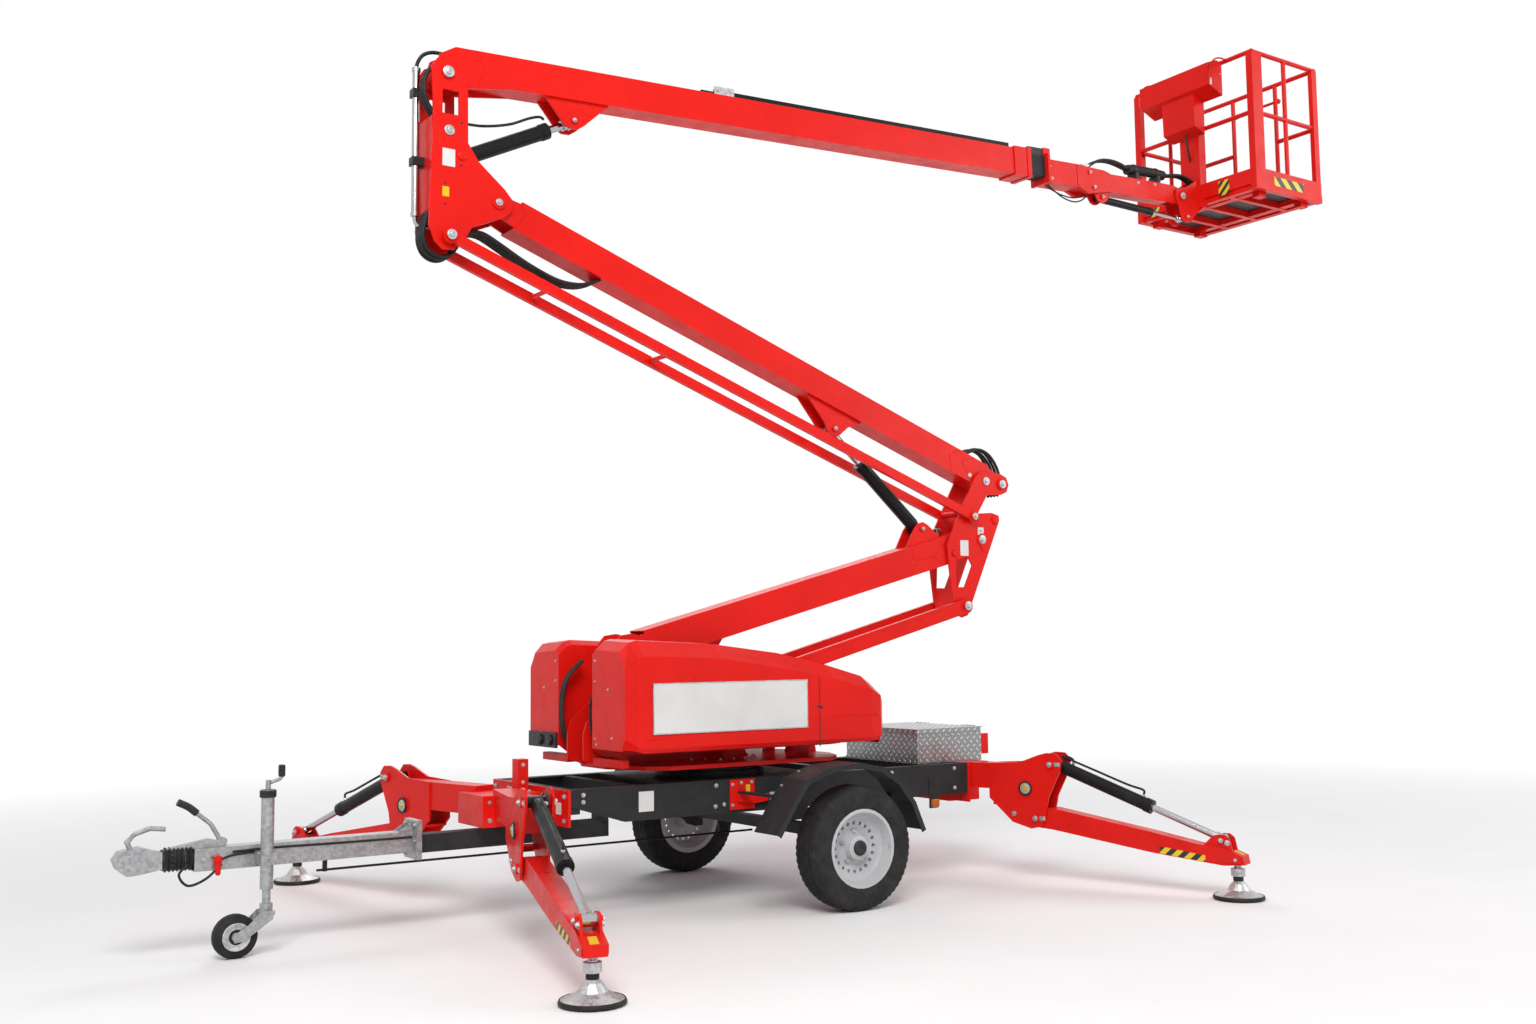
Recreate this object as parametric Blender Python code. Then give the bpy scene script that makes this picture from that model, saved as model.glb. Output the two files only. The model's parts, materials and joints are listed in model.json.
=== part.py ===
"""Towable boom lift, set up on its four outriggers with the boom raised, as an assembly of jointed nodes.

Lengths are metres, angles degrees. The dimensions measure x from the wheel axle and z from the ground.
The coupling is toward -X, the cage toward +X and the photo's near side toward -Y. The last step moves
every node by AXLE_X, so that the origin is the bottom centre of the whole part.
"""

import math
from collections import namedtuple

import bmesh
import bpy
from mathutils import Matrix, Vector

AXLE_X = -0.65375
SEAT = 0.0003

# Pivots of the boom stack, as (x, z) in the plane y = 0.
TURRET_PIN = (-0.92, 1.37)
TURRET_LINK_PIN = (-1.093, 0.938)
KNUCKLE_PIN = (1.684, 2.071)
KNUCKLE_LINK_PIN = (1.511, 1.639)
MID_FOOT = (1.868, 2.441)
MID_ROD_FOOT = (1.588, 2.216)
MID_HEAD = (-1.703, 3.766)
MID_ROD_HEAD = (-1.983, 3.541)
MAST_PIN = (-1.993, 4.422)
LOWER_CYL = ((0.30, 0.85), (-0.4008, 1.3648))
MID_CYL = ((1.219, 2.128), (0.54, 2.721))
UPPER_CYL = ((-1.912, 3.985), (-1.236, 4.319))
LEVEL_CYL = ((2.973, 4.574), (3.849, 4.558))
CAGE_PIN = (3.80, 4.71)
UPPER_ANGLE = 2.7

# Half-thickness layers across the boom stack, from the middle out.
BOOM_HALF = 0.08
EYE_HALF = 0.0445
LUG = (0.045, 0.057)
PLATE = (0.088, 0.100)
BAR = (0.108, 0.138)
BOSS_HALF = 0.0875
PIN_R = 0.030

SLEW_X = -0.35
DECK_Z = 0.684
WHEEL_R = 0.327
WHEEL_Y = 0.885
TYRE_HALF = 0.095
RIM_R = 0.2

Outrigger = namedtuple("Outrigger", "name x y splay")
OUTRIGGERS = (
    Outrigger("front_near", -1.829, -0.808, 13.5),
    Outrigger("front_far", -1.829, 0.808, 13.5),
    Outrigger("rear_near", 1.439, -0.826, 20.0),
    Outrigger("rear_far", 1.439, 0.826, 20.0),
)
ARM_PIVOT_Z = 0.375
ARM_HALF = 0.050
PAD_D = 1.16
PAD_R = 0.135
LAMP_R = 0.040
ARM_CYL_BASE = (0.10, 0.69)
ARM_CYL_TIP = (PAD_D - 0.07, 0.315)

CAGE_LENGTH = 0.73
CAGE_HALF_Y = 0.565
TUBE_R = 0.017
CAGE_X = (CAGE_PIN[0] + 0.25, CAGE_PIN[0] + 0.25 + CAGE_LENGTH)
CAGE_Z = CAGE_PIN[1] - 0.024
RAIL_Z = CAGE_Z + 1.034
MID_RAIL_Z = CAGE_Z + 0.579
BAR_PIVOT = (CAGE_X[1] + TUBE_R + 0.0135, -0.200, RAIL_Z - TUBE_R - 0.103)


def clear_scene():
    for obj in list(bpy.data.objects):
        bpy.data.objects.remove(obj, do_unlink=True)


def paint(name, colour, metallic, roughness):
    """A plain Principled material in the photo's colour."""
    material = bpy.data.materials.new(name)
    material.use_nodes = True
    shader = material.node_tree.nodes["Principled BSDF"]
    shader.inputs["Base Color"].default_value = (*colour, 1.0)
    shader.inputs["Metallic"].default_value = metallic
    shader.inputs["Roughness"].default_value = roughness
    material.diffuse_color = (*colour, 1.0)
    return material


def loft(rings, capped=True):
    """A closed solid through rings of equal point counts; uncapped, the last ring joins the first."""
    count = len(rings[0])
    points = [Vector(point) for ring in rings for point in ring]
    spans = len(rings) - 1 if capped else len(rings)
    faces = []
    for i in range(spans):
        a, b = i * count, (i + 1) % len(rings) * count
        for j in range(count):
            k = (j + 1) % count
            faces.append([a + j, a + k, b + k, b + j])
    if capped:
        faces.append(list(range(count))[::-1])
        faces.append([(len(rings) - 1) * count + j for j in range(count)])
    return points, faces


def prism(outline, lo, hi, axis="Y"):
    """The outline swept along one axis: its pairs are (x, z) for Y, (y, z) for X and (x, y) for Z."""

    def at(pair, value):
        if axis == "Y":
            return (pair[0], value, pair[1])
        if axis == "X":
            return (value, pair[0], pair[1])
        return (pair[0], pair[1], value)

    return loft([[at(pair, value) for pair in outline] for value in (lo, hi)])


def box(x0, x1, y0, y1, z0, z1):
    return prism([(x0, z0), (x1, z0), (x1, z1), (x0, z1)], y0, y1)


def circle(centre, direction, radius, sides, turn=0.0):
    axis = Vector(direction).normalized()
    across = axis.orthogonal().normalized()
    if abs(axis.y) > 0.9:
        across = Vector((1, 0, 0))
    elif abs(axis.z) < 0.9:
        across = Vector((0, 0, 1)).cross(axis).normalized()
    other = axis.cross(across)
    ring = []
    for i in range(sides):
        angle = 2 * math.pi * (i + turn) / sides
        ring.append(Vector(centre) + radius * (math.cos(angle) * across + math.sin(angle) * other))
    return ring


def rod(start, end, radius, sides=12):
    way = Vector(end) - Vector(start)
    return loft([circle(point, way, radius, sides, 0.5) for point in (start, end)])


def turned(stations, start, direction, sides=24):
    """A solid of revolution through (offset, radius) stations along an axis, flat at both ends."""
    axis = Vector(direction).normalized()
    rings = [circle(Vector(start) + axis * offset, axis, radius, sides) for offset, radius in stations]
    return loft(rings)


def ring_of(profile, centre, sides):
    """A closed (radius, y offset) profile turned about a wheel's axle."""
    rings = []
    for i in range(sides):
        angle = 2 * math.pi * i / sides
        ring = [
            (centre[0] + r * math.cos(angle), centre[1] + a, centre[2] + r * math.sin(angle))
            for r, a in profile
        ]
        rings.append(ring)
    return loft(rings, capped=False)


def sweep(path, radius, sides=8):
    """A bent bar with mitred corners."""
    path = [Vector(point) for point in path]
    rings = []
    for i, point in enumerate(path):
        before = (point - path[i - 1]).normalized() if i else (path[1] - point).normalized()
        after = (path[i + 1] - point).normalized() if i + 1 < len(path) else before
        plane = (before + after).normalized()
        flat = circle(point, before, radius, sides, 0.5)
        slide = before.dot(plane)
        rings.append([p + before * ((point - p).dot(plane) / slide) for p in flat])
    return loft(rings)


def rect_tube(s0, s1, half_y, h0, h1, wall):
    """A hollow box section along X, open at both ends."""

    def ring(s, inset):
        y, lo, hi = half_y - inset, h0 + inset, h1 - inset
        return [(s, -y, lo), (s, y, lo), (s, y, hi), (s, -y, hi)]

    return loft([ring(s0, 0), ring(s1, 0), ring(s1, wall), ring(s0, wall)], capped=False)


def both_sides(outline, lo, hi):
    """The same plate on each side of the middle plane."""
    return [prism(outline, lo, hi), prism(outline, -hi, -lo)]


def across(point, radius, half, sides=12):
    """A round boss along Y at an (x, z) point."""
    return rod((point[0], -half, point[1]), (point[0], half, point[1]), radius, sides)


def heads(point, inner, outer, radius, sides=8):
    """The two ends of a pivot pin, outside the plates that hold it."""
    x, z = point
    return [rod((x, side * inner, z), (x, side * outer, z), radius, sides) for side in (1, -1)]


def moved(solids, matrix):
    return [([matrix @ point for point in points], faces) for points, faces in solids]


def mirrored(solids):
    flip = Matrix.Diagonal((1, -1, 1, 1))
    return moved(solids, flip)


def seat_on(start, end):
    """The matrix that puts local X on the line from start to end, with local Z on its upper side."""
    x = Vector((end[0] - start[0], 0, end[1] - start[1])).normalized()
    z = Vector((-x.z, 0, x.x))
    if z.z < 0:
        z.negate()
    y = z.cross(x)
    turn = Matrix((x, y, z)).transposed().to_4x4()
    return Matrix.Translation((start[0], 0, start[1])) @ turn


def span(start, end):
    return math.hypot(end[0] - start[0], end[1] - start[1])


def as_object(solid, name="body"):
    points, faces = solid
    mesh = bpy.data.meshes.new(name)
    mesh.from_pydata([tuple(point) for point in points], [], faces)
    work = bmesh.new()
    work.from_mesh(mesh)
    bmesh.ops.recalc_face_normals(work, faces=work.faces)
    work.to_mesh(mesh)
    work.free()
    obj = bpy.data.objects.new(name, mesh)
    bpy.context.scene.collection.objects.link(obj)
    return obj


def combine(solids, cuts=()):
    """One solid list after the union of overlapping solids and the removal of the cuts."""
    base = as_object(solids[0])
    made = [base]
    for operation, others in (("UNION", solids[1:]), ("DIFFERENCE", cuts)):
        if not others:
            continue
        group = bpy.data.collections.new(operation)
        for other in others:
            tool = as_object(other)
            bpy.context.scene.collection.objects.unlink(tool)
            group.objects.link(tool)
            made.append(tool)
        modifier = base.modifiers.new(operation, "BOOLEAN")
        modifier.operation = operation
        modifier.operand_type = "COLLECTION"
        modifier.collection = group
        modifier.solver = "EXACT"
    bpy.context.view_layer.update()
    graph = bpy.context.evaluated_depsgraph_get()
    result = bpy.data.meshes.new_from_object(base.evaluated_get(graph))
    points = [vertex.co.copy() for vertex in result.vertices]
    faces = [list(polygon.vertices) for polygon in result.polygons]
    for obj in made:
        bpy.data.objects.remove(obj, do_unlink=True)
    return [(points, faces)]


def node(name, solids, material, origin=(0.0, 0.0, 0.0)):
    """One named object whose origin is on its joint's axis."""
    points, faces = [], []
    for solid_points, solid_faces in solids:
        start = len(points)
        points += [point - Vector(origin) for point in map(Vector, solid_points)]
        faces += [[start + index for index in face] for face in solid_faces]
    obj = as_object((points, faces), name)
    obj.location = origin
    obj.data.materials.append(material)
    return obj


def ram(start, end, barrel_len, barrel_r, rod_from, rod_r, eye_r, foot_half, head_half):
    """A hydraulic cylinder from start to end: (barrel, rod) in the plane y = 0, the barrel bored."""
    matrix = seat_on(start, end)
    length = span(start, end)
    bore, gland = rod_r + 0.006, rod_r + 0.0008
    barrel = turned(
        [
            (0.02, barrel_r * 0.8),
            (0.05, barrel_r),
            (barrel_len - 0.05, barrel_r),
            (barrel_len - 0.045, barrel_r * 1.1),
            (barrel_len, barrel_r * 1.1),
            (barrel_len, gland),
            (barrel_len - 0.03, gland),
            (barrel_len - 0.03, bore),
            (0.06, bore),
        ],
        (0, 0, 0),
        (1, 0, 0),
        14,
    )
    eye = across((0, 0), eye_r, foot_half)
    stem = rod((rod_from, 0, 0), (length - eye_r * 0.5, 0, 0), rod_r, 12)
    far_eye = across((length, 0), eye_r, head_half)
    neck = rod((length - eye_r - 0.02, 0, 0), (length - eye_r * 0.5, 0, 0), rod_r * 1.35, 12)
    return moved(combine([barrel, eye]), matrix), moved(combine([stem, neck, far_eye]), matrix)


def lug_pair(outline, pin, layer=LUG):
    """Two lugs with the heads of their pin; outline and pin in boom coordinates."""
    solids = both_sides(outline, *layer)
    solids += heads(pin, layer[1] - 0.004, layer[1] + 0.008, 0.020)
    return solids


def boom_ends(length, half_h, offset=0.0):
    """Side cheeks with a boss at each end of a boom of this length between pins."""
    solids = []
    for at, way in ((0.0, 1), (length, -1)):
        outline = [
            (at, -0.055),
            (at + way * 0.25, -half_h + offset),
            (at + way * 0.25, half_h + offset),
            (at, 0.055),
        ]
        solids += both_sides(outline, BOOM_HALF - 0.012, BOOM_HALF)
        solids.append(across((at, 0), 0.055, BOSS_HALF))
    return solids


def build_chassis():
    beam = [(-1.454, DECK_Z), (1.20, DECK_Z), (1.20, 0.504), (-1.14, 0.504), (-1.454, 0.600)]
    solids = []
    for side in (1, -1):
        lo, hi = sorted((side * 0.442, side * 0.450))
        solids.append(prism(beam, lo, hi))
        lo, hi = sorted((side * 0.390, side * 0.448))
        solids.append(box(-1.452, 1.198, lo, hi, DECK_Z - 0.008, DECK_Z - 0.0005))
        solids.append(box(-1.14, 1.198, lo, hi, 0.5045, 0.512))
        solids.append(box(-0.20, 0.02, lo, hi, 0.436, 0.510))
    for x in (-1.42, -1.05, -0.60, -0.10, 0.42, 0.95, 1.16):
        solids.append(box(x - 0.025, x + 0.025, -0.444, 0.444, 0.560, DECK_Z - 0.004))
    solids.append(box(-0.85, 0.15, -0.43, 0.43, DECK_Z - 0.014, DECK_Z))
    solids.append(rect_tube(-2.0897, -1.02, 0.045, 0.385, 0.475, 0.006))
    for x in (-1.42, -1.05):
        solids.append(box(x - 0.02, x + 0.02, -0.06, 0.06, 0.470, 0.570))
    return combine(solids)


def build_drawbar():
    solids = [rect_tube(-3.17, -2.10, 0.050, 0.392, 0.495, 0.005)]
    solids.append(box(-2.118, -2.090, -0.085, 0.085, 0.357, 0.550))
    solids += both_sides([(-2.20, 0.494), (-2.11, 0.494), (-2.11, 0.548)], 0.030, 0.036)
    return combine(solids)


def build_coupling():
    bellows = [(0.0, 0.042)]
    for i in range(5):
        bellows += [(0.012 + i * 0.028, 0.052), (0.026 + i * 0.028, 0.040)]
    bellows += [(0.16, 0.036)]
    solids = [turned(bellows, (-3.1703, 0, 0.452), (-1, 0, 0), 12)]
    head = [(-3.50, 0.430), (-3.515, 0.470), (-3.49, 0.505), (-3.40, 0.520), (-3.31, 0.492),
            (-3.31, 0.415), (-3.40, 0.400), (-3.46, 0.395)]
    solids.append(prism(head, -0.045, 0.045))
    handle = [(-3.44, 0, 0.510), (-3.455, 0, 0.545), (-3.421, 0, 0.580), (-3.357, 0, 0.600), (-3.290, 0, 0.592)]
    solids.append(sweep(handle, 0.012))
    base = [(-3.345, 0.44), (-3.176, 0.4953), (-3.02, 0.4953), (-3.02, 0.512), (-3.10, 0.535), (-3.30, 0.500)]
    solids.append(prism(base, -0.018, 0.018))
    lever = [(-3.035, 0.030, 0.515), (-3.083, 0.030, 0.598), (-3.184, 0.030, 0.682), (-3.230, 0.030, 0.706)]
    solids.append(sweep(lever, 0.011))
    solids.append(rod((-3.035, -0.017, 0.517), (-3.035, 0.045, 0.517), 0.019))
    return combine(solids)


JOCKEY = (-2.87, -0.15)
JOCKEY_WHEEL = (-3.01, -0.15, 0.10)


def build_jockey():
    x, y = JOCKEY
    tube = turned(
        [(0.0, 0.030), (0.42, 0.030), (0.42, 0.036), (0.455, 0.036), (0.455, 0.012), (0.50, 0.012)],
        (x, y, 0.300), (0, 0, 1), 16,
    )
    bore = rod((x, y, 0.28), (x, y, 0.68), 0.0203, 16)
    clamp = box(x - 0.035, x + 0.035, y - 0.036, -0.0503, 0.412, 0.462)
    crank = sweep([(x, y, 0.785), (x + 0.05, y, 0.800), (x + 0.062, y, 0.812), (x + 0.062, y, 0.862)], 0.009)
    fixed = combine([tube, clamp, crank, rod((x, y + 0.03, 0.437), (x, y - 0.075, 0.437), 0.010)], [bore])
    leg = combine([rod((x, y, 0.22), (x, y, 0.58), 0.0195, 12), rod((x, y, 0.215), (x, y, 0.235), 0.030)])
    wx, wy, wz = JOCKEY_WHEEL
    fork = [rod((x, y, 0.185), (x, y, 0.2147), 0.030)]
    side = [(x - 0.03, 0.205), (x + 0.03, 0.205), (x + 0.02, 0.165), (wx + 0.03, wz - 0.02), (wx - 0.01, wz - 0.025),
            (wx - 0.025, wz + 0.005), (x - 0.09, 0.150)]
    for lo in (-0.046, 0.041):
        fork.append(prism(side, y + lo, y + lo + 0.005))
    fork.append(box(x - 0.03, x + 0.03, y - 0.044, y + 0.044, 0.186, 0.198))
    fork += [rod((wx, y + s * 0.0355, wz), (wx, y + s * 0.052, wz), 0.010, 10) for s in (1, -1)]
    wheel = turned(
        [(0.0, 0.035), (0.006, 0.085), (0.016, 0.100), (0.054, 0.100), (0.064, 0.085), (0.070, 0.035)],
        (wx, y - 0.035, wz), (0, 1, 0), 24,
    )
    return fixed, leg, combine(fork), [wheel]


def build_axle():
    solids = [box(-0.13, -0.07, -0.72, 0.72, 0.375, 0.4357)]
    lever = [(-0.135, 0.372), (-0.135, 0.44), (-0.07, 0.44), (0.035, 0.355), (0.035, 0.295), (-0.02, 0.295)]
    for side in (1, -1):
        lo, hi = sorted((side * 0.70, side * 0.745))
        solids.append(prism(lever, lo, hi))
        solids.append(rod((0, side * 0.735, WHEEL_R), (0, side * 0.7997, WHEEL_R), 0.034, 16))
    return combine(solids)


def build_wheel(side):
    centre = (0, side * WHEEL_Y, WHEEL_R)
    profile = [(RIM_R + SEAT, -0.080), (0.24, -0.093), (0.285, -TYRE_HALF), (0.312, -0.086), (WHEEL_R, -0.066),
               (WHEEL_R, 0.066), (0.312, 0.086), (0.285, TYRE_HALF), (0.24, 0.093), (RIM_R + SEAT, 0.080)]
    tyre = ring_of(profile, centre, 32)
    stations = [(-0.085, 0.055), (-0.015, 0.060), (-0.015, 0.140), (-0.088, 0.180), (-0.088, 0.207),
                (-0.0835, 0.207), (-0.0835, RIM_R), (0.0835, RIM_R), (0.0835, 0.207), (0.088, 0.207),
                (0.088, 0.190), (0.030, 0.172), (0.018, 0.160), (-0.002, 0.095), (0.012, 0.070), (0.050, 0.062),
                (0.056, 0.045)]
    rim = turned(stations, centre, (0, side, 0), 32)
    holes = []
    for i in range(20):
        angle = 2 * math.pi * i / 20
        x, z = 0.128 * math.cos(angle), WHEEL_R + 0.128 * math.sin(angle)
        holes.append(rod((x, side * 0.84, z), (x, side * 0.93, z), 0.011, 6))
    return [tyre], combine([rim], holes)


def build_mudguard():
    path = [(-0.56, 0.44), (-0.455, 0.60), (-0.371, 0.707), (-0.20, 0.765), (-0.019, 0.777), (0.13, 0.747),
            (0.251, 0.671), (0.350, 0.550), (0.418, 0.395)]
    inner = []
    for i, (x, z) in enumerate(path):
        near, far = path[max(i - 1, 0)], path[min(i + 1, len(path) - 1)]
        way = Vector((far[0] - near[0], far[1] - near[1])).normalized()
        inner.append((x + way.y * 0.004, z - way.x * 0.004))
    deeper = []
    for i, (x, z) in enumerate(path):
        near, far = path[max(i - 1, 0)], path[min(i + 1, len(path) - 1)]
        way = Vector((far[0] - near[0], far[1] - near[1])).normalized()
        deeper.append((x + way.y * 0.028, z - way.x * 0.028))
    sheet = prism(path + inner[::-1], 0.775, 0.990)
    lip = prism(path + deeper[::-1], 0.986, 0.991)
    solids = [sheet, lip]
    for x, z in ((-0.435, 0.612), (0.322, 0.570)):
        solids.append(box(x - 0.02, x + 0.02, 0.4503, 0.80, z - 0.006, z + 0.006))
        solids.append(box(x - 0.03, x + 0.03, 0.4503, 0.456, z - 0.045, z + 0.045))
    return combine(solids)


def build_toolbox():
    shell = box(0.90, 1.41, -0.35, 0.35, DECK_Z - 0.0007, 0.885)
    space = box(0.904, 1.406, -0.346, 0.346, DECK_Z + 0.004, 0.95)
    lid = box(0.892, 1.418, -0.358, 0.358, 0.8853, 0.8893)
    skirts = [
        box(0.892, 0.895, -0.358, 0.358, 0.862, 0.887),
        box(0.892, 1.400, -0.358, -0.355, 0.862, 0.887),
        box(0.892, 1.400, 0.355, 0.358, 0.862, 0.887),
    ]
    knuckles = [rod((1.421, y - 0.06, 0.889), (1.421, y + 0.06, 0.889), 0.006, 8) for y in (-0.22, 0.22)]
    handle = [box(0.884, 0.893, -0.045, 0.045, 0.872, 0.880)]
    return combine([shell], [space]), combine([lid] + skirts + knuckles + handle)


def outrigger_matrix(leg):
    """Local X runs outward along the leg, local Y across it and local Z up, from the arm pivot's plan point."""
    side = 1 if leg.y > 0 else -1
    way = -1 if leg.x < 0 else 1
    splay = math.radians(leg.splay)
    x = Vector((way * math.sin(splay), side * math.cos(splay), 0))
    z = Vector((0, 0, 1))
    y = z.cross(x)
    turn = Matrix((x, y, z)).transposed().to_4x4()
    return Matrix.Translation((leg.x, leg.y, 0)) @ turn


CHEEK = [(-0.30, 0.684), (-0.10, 0.695), (0.02, 0.740), (0.075, 0.755), (0.135, 0.752), (0.170, 0.715), (0.160, 0.650),
         (0.085, 0.500), (0.062, 0.390), (0.045, 0.330), (-0.03, 0.312), (-0.15, 0.345), (-0.30, 0.480)]


def outrigger_root(inner):
    """The box beam and the two cheeks that hold one arm and its cylinder."""
    solids = [box(-inner, 0.0, -0.060, 0.060, 0.534, DECK_Z - 0.001)]
    solids += both_sides(CHEEK, 0.058, 0.070)
    for point in ((0.0, ARM_PIVOT_Z), ARM_CYL_BASE):
        solids += heads(point, 0.066, 0.082, 0.026)
        solids += heads(point, 0.0505, 0.060, 0.034)
    solids.append(box(-0.28, -0.14, -0.060, 0.060, 0.440, 0.452))
    solids += [rod((-0.06, side * 0.066, 0.545), (-0.06, side * 0.076, 0.545), LAMP_R, 12) for side in (1, -1)]
    return solids


def build_front_frame():
    solids = [box(-1.4703, -1.4543, -0.46, 0.46, 0.500, DECK_Z - 0.001)]
    solids.append(box(OUTRIGGERS[0].x + 0.03, -1.46, -0.16, 0.16, 0.495, 0.655))
    solids.append(box(-1.55, -1.49, -0.035, 0.035, 0.650, 0.820))
    for leg in OUTRIGGERS[:2]:
        solids += moved(outrigger_root(0.70), outrigger_matrix(leg))
    return combine(solids)


def build_rear_frame():
    solids = [box(1.2003, 1.2163, -0.46, 0.46, 0.450, DECK_Z - 0.001)]
    solids.append(box(1.21, 1.42, -0.28, 0.28, 0.440, 0.600))
    solids.append(box(1.212, 1.40, -0.42, 0.42, 0.540, DECK_Z - 0.002))
    for leg in OUTRIGGERS[2:]:
        solids += moved(outrigger_root(0.52), outrigger_matrix(leg))
    solids.append(box(1.40, 1.62, -0.035, 0.035, 0.445, 0.515))
    solids.append(box(1.60, 1.66, -0.045, 0.045, 0.405, 0.705))
    cradle = [(-0.13, 0.828), (-0.118, 0.828), (-0.118, 0.712), (0.118, 0.712), (0.118, 0.828), (0.13, 0.828),
              (0.13, 0.700), (-0.13, 0.700)]
    solids.append(prism(cradle, 1.59, 1.67, "X"))
    return combine(solids)


ARM = [(-0.055, 0.400), (-0.03, 0.425), (0.10, 0.435), (0.70, 0.335), (PAD_D - 0.21, 0.288), (PAD_D - 0.02, 0.262),
       (PAD_D + 0.045, 0.235), (PAD_D + 0.055, 0.190), (PAD_D - 0.06, 0.180), (0.70, 0.222), (0.10, 0.312),
       (-0.02, 0.322), (-0.055, 0.350)]
ARM_EAR = [(PAD_D - 0.18, 0.275), (PAD_D - 0.12, 0.335), (PAD_D - 0.09, 0.345), (PAD_D - 0.05, 0.345),
           (PAD_D - 0.025, 0.325), (PAD_D - 0.01, 0.255)]
ARM_TIP = [(PAD_D - 0.15, 0.20), (PAD_D + 0.04, 0.195), (PAD_D + 0.045, 0.235), (PAD_D - 0.06, 0.275),
           (PAD_D - 0.15, 0.29)]


def build_outrigger():
    """(arm, pad, barrel, rod) of one leg in its own coordinates."""
    body = combine([prism(ARM, -ARM_HALF, ARM_HALF)], [rod((PAD_D, 0, 0.10), (PAD_D, 0, 0.232), 0.0206, 18)])
    solids = body + both_sides(ARM_EAR, 0.034, 0.046)
    solids += heads(ARM_CYL_TIP, 0.042, 0.058, 0.018)
    solids += both_sides(ARM_TIP, 0.048, 0.056)
    arm = combine(solids)
    pad = turned(
        [(0.0, PAD_R - 0.012), (0.010, PAD_R), (0.022, PAD_R - 0.004), (0.030, PAD_R - 0.030), (0.052, 0.062),
         (0.085, 0.040), (0.100, 0.024), (0.125, 0.024), (0.125, 0.038), (0.165, 0.038), (0.165, 0.020), (0.225, 0.020)],
        (PAD_D, 0, 0), (0, 0, 1), 18,
    )
    barrel, stem = ram(ARM_CYL_BASE, ARM_CYL_TIP, 0.63, 0.037, 0.355, 0.020, 0.028, 0.050, 0.0335)
    return arm, [pad], barrel, stem


def build_slew_ring():
    ring = [(0.31, 0.0), (0.31, 0.030), (0.29, 0.033), (0.29, 0.0657), (0.22, 0.0657), (0.22, 0.0)]
    rings = []
    for i in range(28):
        angle = 2 * math.pi * i / 28
        rings.append([(SLEW_X + r * math.cos(angle), r * math.sin(angle), DECK_Z + SEAT + z) for r, z in ring])
    return [loft(rings, capped=False)]


def build_turret_frame():
    half_plan = [(-1.09, -0.14), (-0.98, -0.38), (-0.86, -0.46), (0.18, -0.46), (0.29, -0.36), (0.37, -0.18)]
    plan = half_plan + [(x, -y) for x, y in half_plan[::-1]]
    solids = [prism(plan, 0.7503, 0.772, "Z")]
    upright = [(-1.20, 0.800), (-1.10, 0.765), (-0.15, 0.765), (-0.25, 1.02), (-0.55, 1.28), (-0.83, 1.46),
               (-0.90, 1.475), (-0.97, 1.465), (-1.02, 1.41), (-1.05, 1.12), (-1.18, 1.00), (-1.20, 0.94)]
    solids += both_sides(upright, *PLATE)
    solids += heads(TURRET_PIN, 0.096, 0.112, 0.038, 10)
    solids += heads(TURRET_LINK_PIN, 0.096, BAR[0] - 0.0005, 0.040, 8)
    ear = [(0.21, 0.765), (0.25, 0.885), (0.28, 0.900), (0.32, 0.900), (0.345, 0.885), (0.365, 0.765)]
    solids += lug_pair(ear, LOWER_CYL[0])
    for x in (-1.02, -0.35, 0.18):
        for side in (1, -1):
            lo, hi = sorted((side * 0.150, side * 0.1997))
            solids.append(box(x - 0.03, x + 0.03, lo, hi, 0.765, 0.930))
    solids.append(box(-0.42, -0.36, -0.095, 0.095, 0.765, 0.850))
    return combine(solids)


def cover_ring(x, low, side_low, side, crease, ridge, outer, inset=0.0):
    """One (y, z) station of a turret cover, from its inner wall round the outside."""
    i = inset
    drop = -0.05 if inset else 0.0
    return [
        (x, 0.200 + i, low + drop),
        (x, outer - 0.035 - i, low + drop),
        (x, outer - i, side_low),
        (x, outer - i, side - i),
        (x, crease - i, ridge - i),
        (x, 0.240 + i, ridge + 0.012 - i),
        (x, 0.200 + i, ridge - 0.015 - i),
    ]


COVER = (
    (-1.200, 0.870, 0.930, 1.290, 0.500, 1.375, 0.560),
    (-1.150, 0.832, 0.892, 1.345, 0.510, 1.424, 0.608),
    (-1.112, 0.820, 0.880, 1.352, 0.512, 1.433, 0.612),
    (-0.637, 0.820, 0.880, 1.334, 0.512, 1.411, 0.614),
    (-0.229, 0.820, 0.880, 1.272, 0.512, 1.360, 0.616),
    (0.081, 0.820, 0.880, 1.216, 0.512, 1.296, 0.616),
    (0.356, 0.820, 0.880, 1.150, 0.510, 1.222, 0.614),
    (0.430, 0.824, 0.888, 1.112, 0.500, 1.176, 0.600),
    (0.462, 0.845, 0.905, 1.075, 0.480, 1.130, 0.570),
)


def build_cover():
    outer = loft([cover_ring(*row) for row in COVER])
    rows = list(COVER)
    rows[0] = (rows[0][0] + 0.006, *rows[0][1:])
    rows[-1] = (rows[-1][0] - 0.006, *rows[-1][1:])
    inner = loft([cover_ring(*row, inset=0.006) for row in rows])
    return combine([outer], [inner])


def build_lower_boom():
    length = span(TURRET_PIN, KNUCKLE_PIN)
    solids = [rect_tube(0.13, length - 0.13, BOOM_HALF, -0.09, 0.09, 0.006)]
    solids += boom_ends(length, 0.09)
    lug = [(2.10, 0.085), (2.20, 0.190), (2.235, 0.215), (2.285, 0.215), (2.315, 0.190), (2.40, 0.085)]
    solids += lug_pair(lug, (2.263, 0.175))
    under = [(0.36, -0.085), (0.46, -0.170), (0.54, -0.170), (0.64, -0.085)]
    solids += lug_pair(under, (0.500, -0.140))
    return moved(combine(solids), seat_on(TURRET_PIN, KNUCKLE_PIN))


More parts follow.
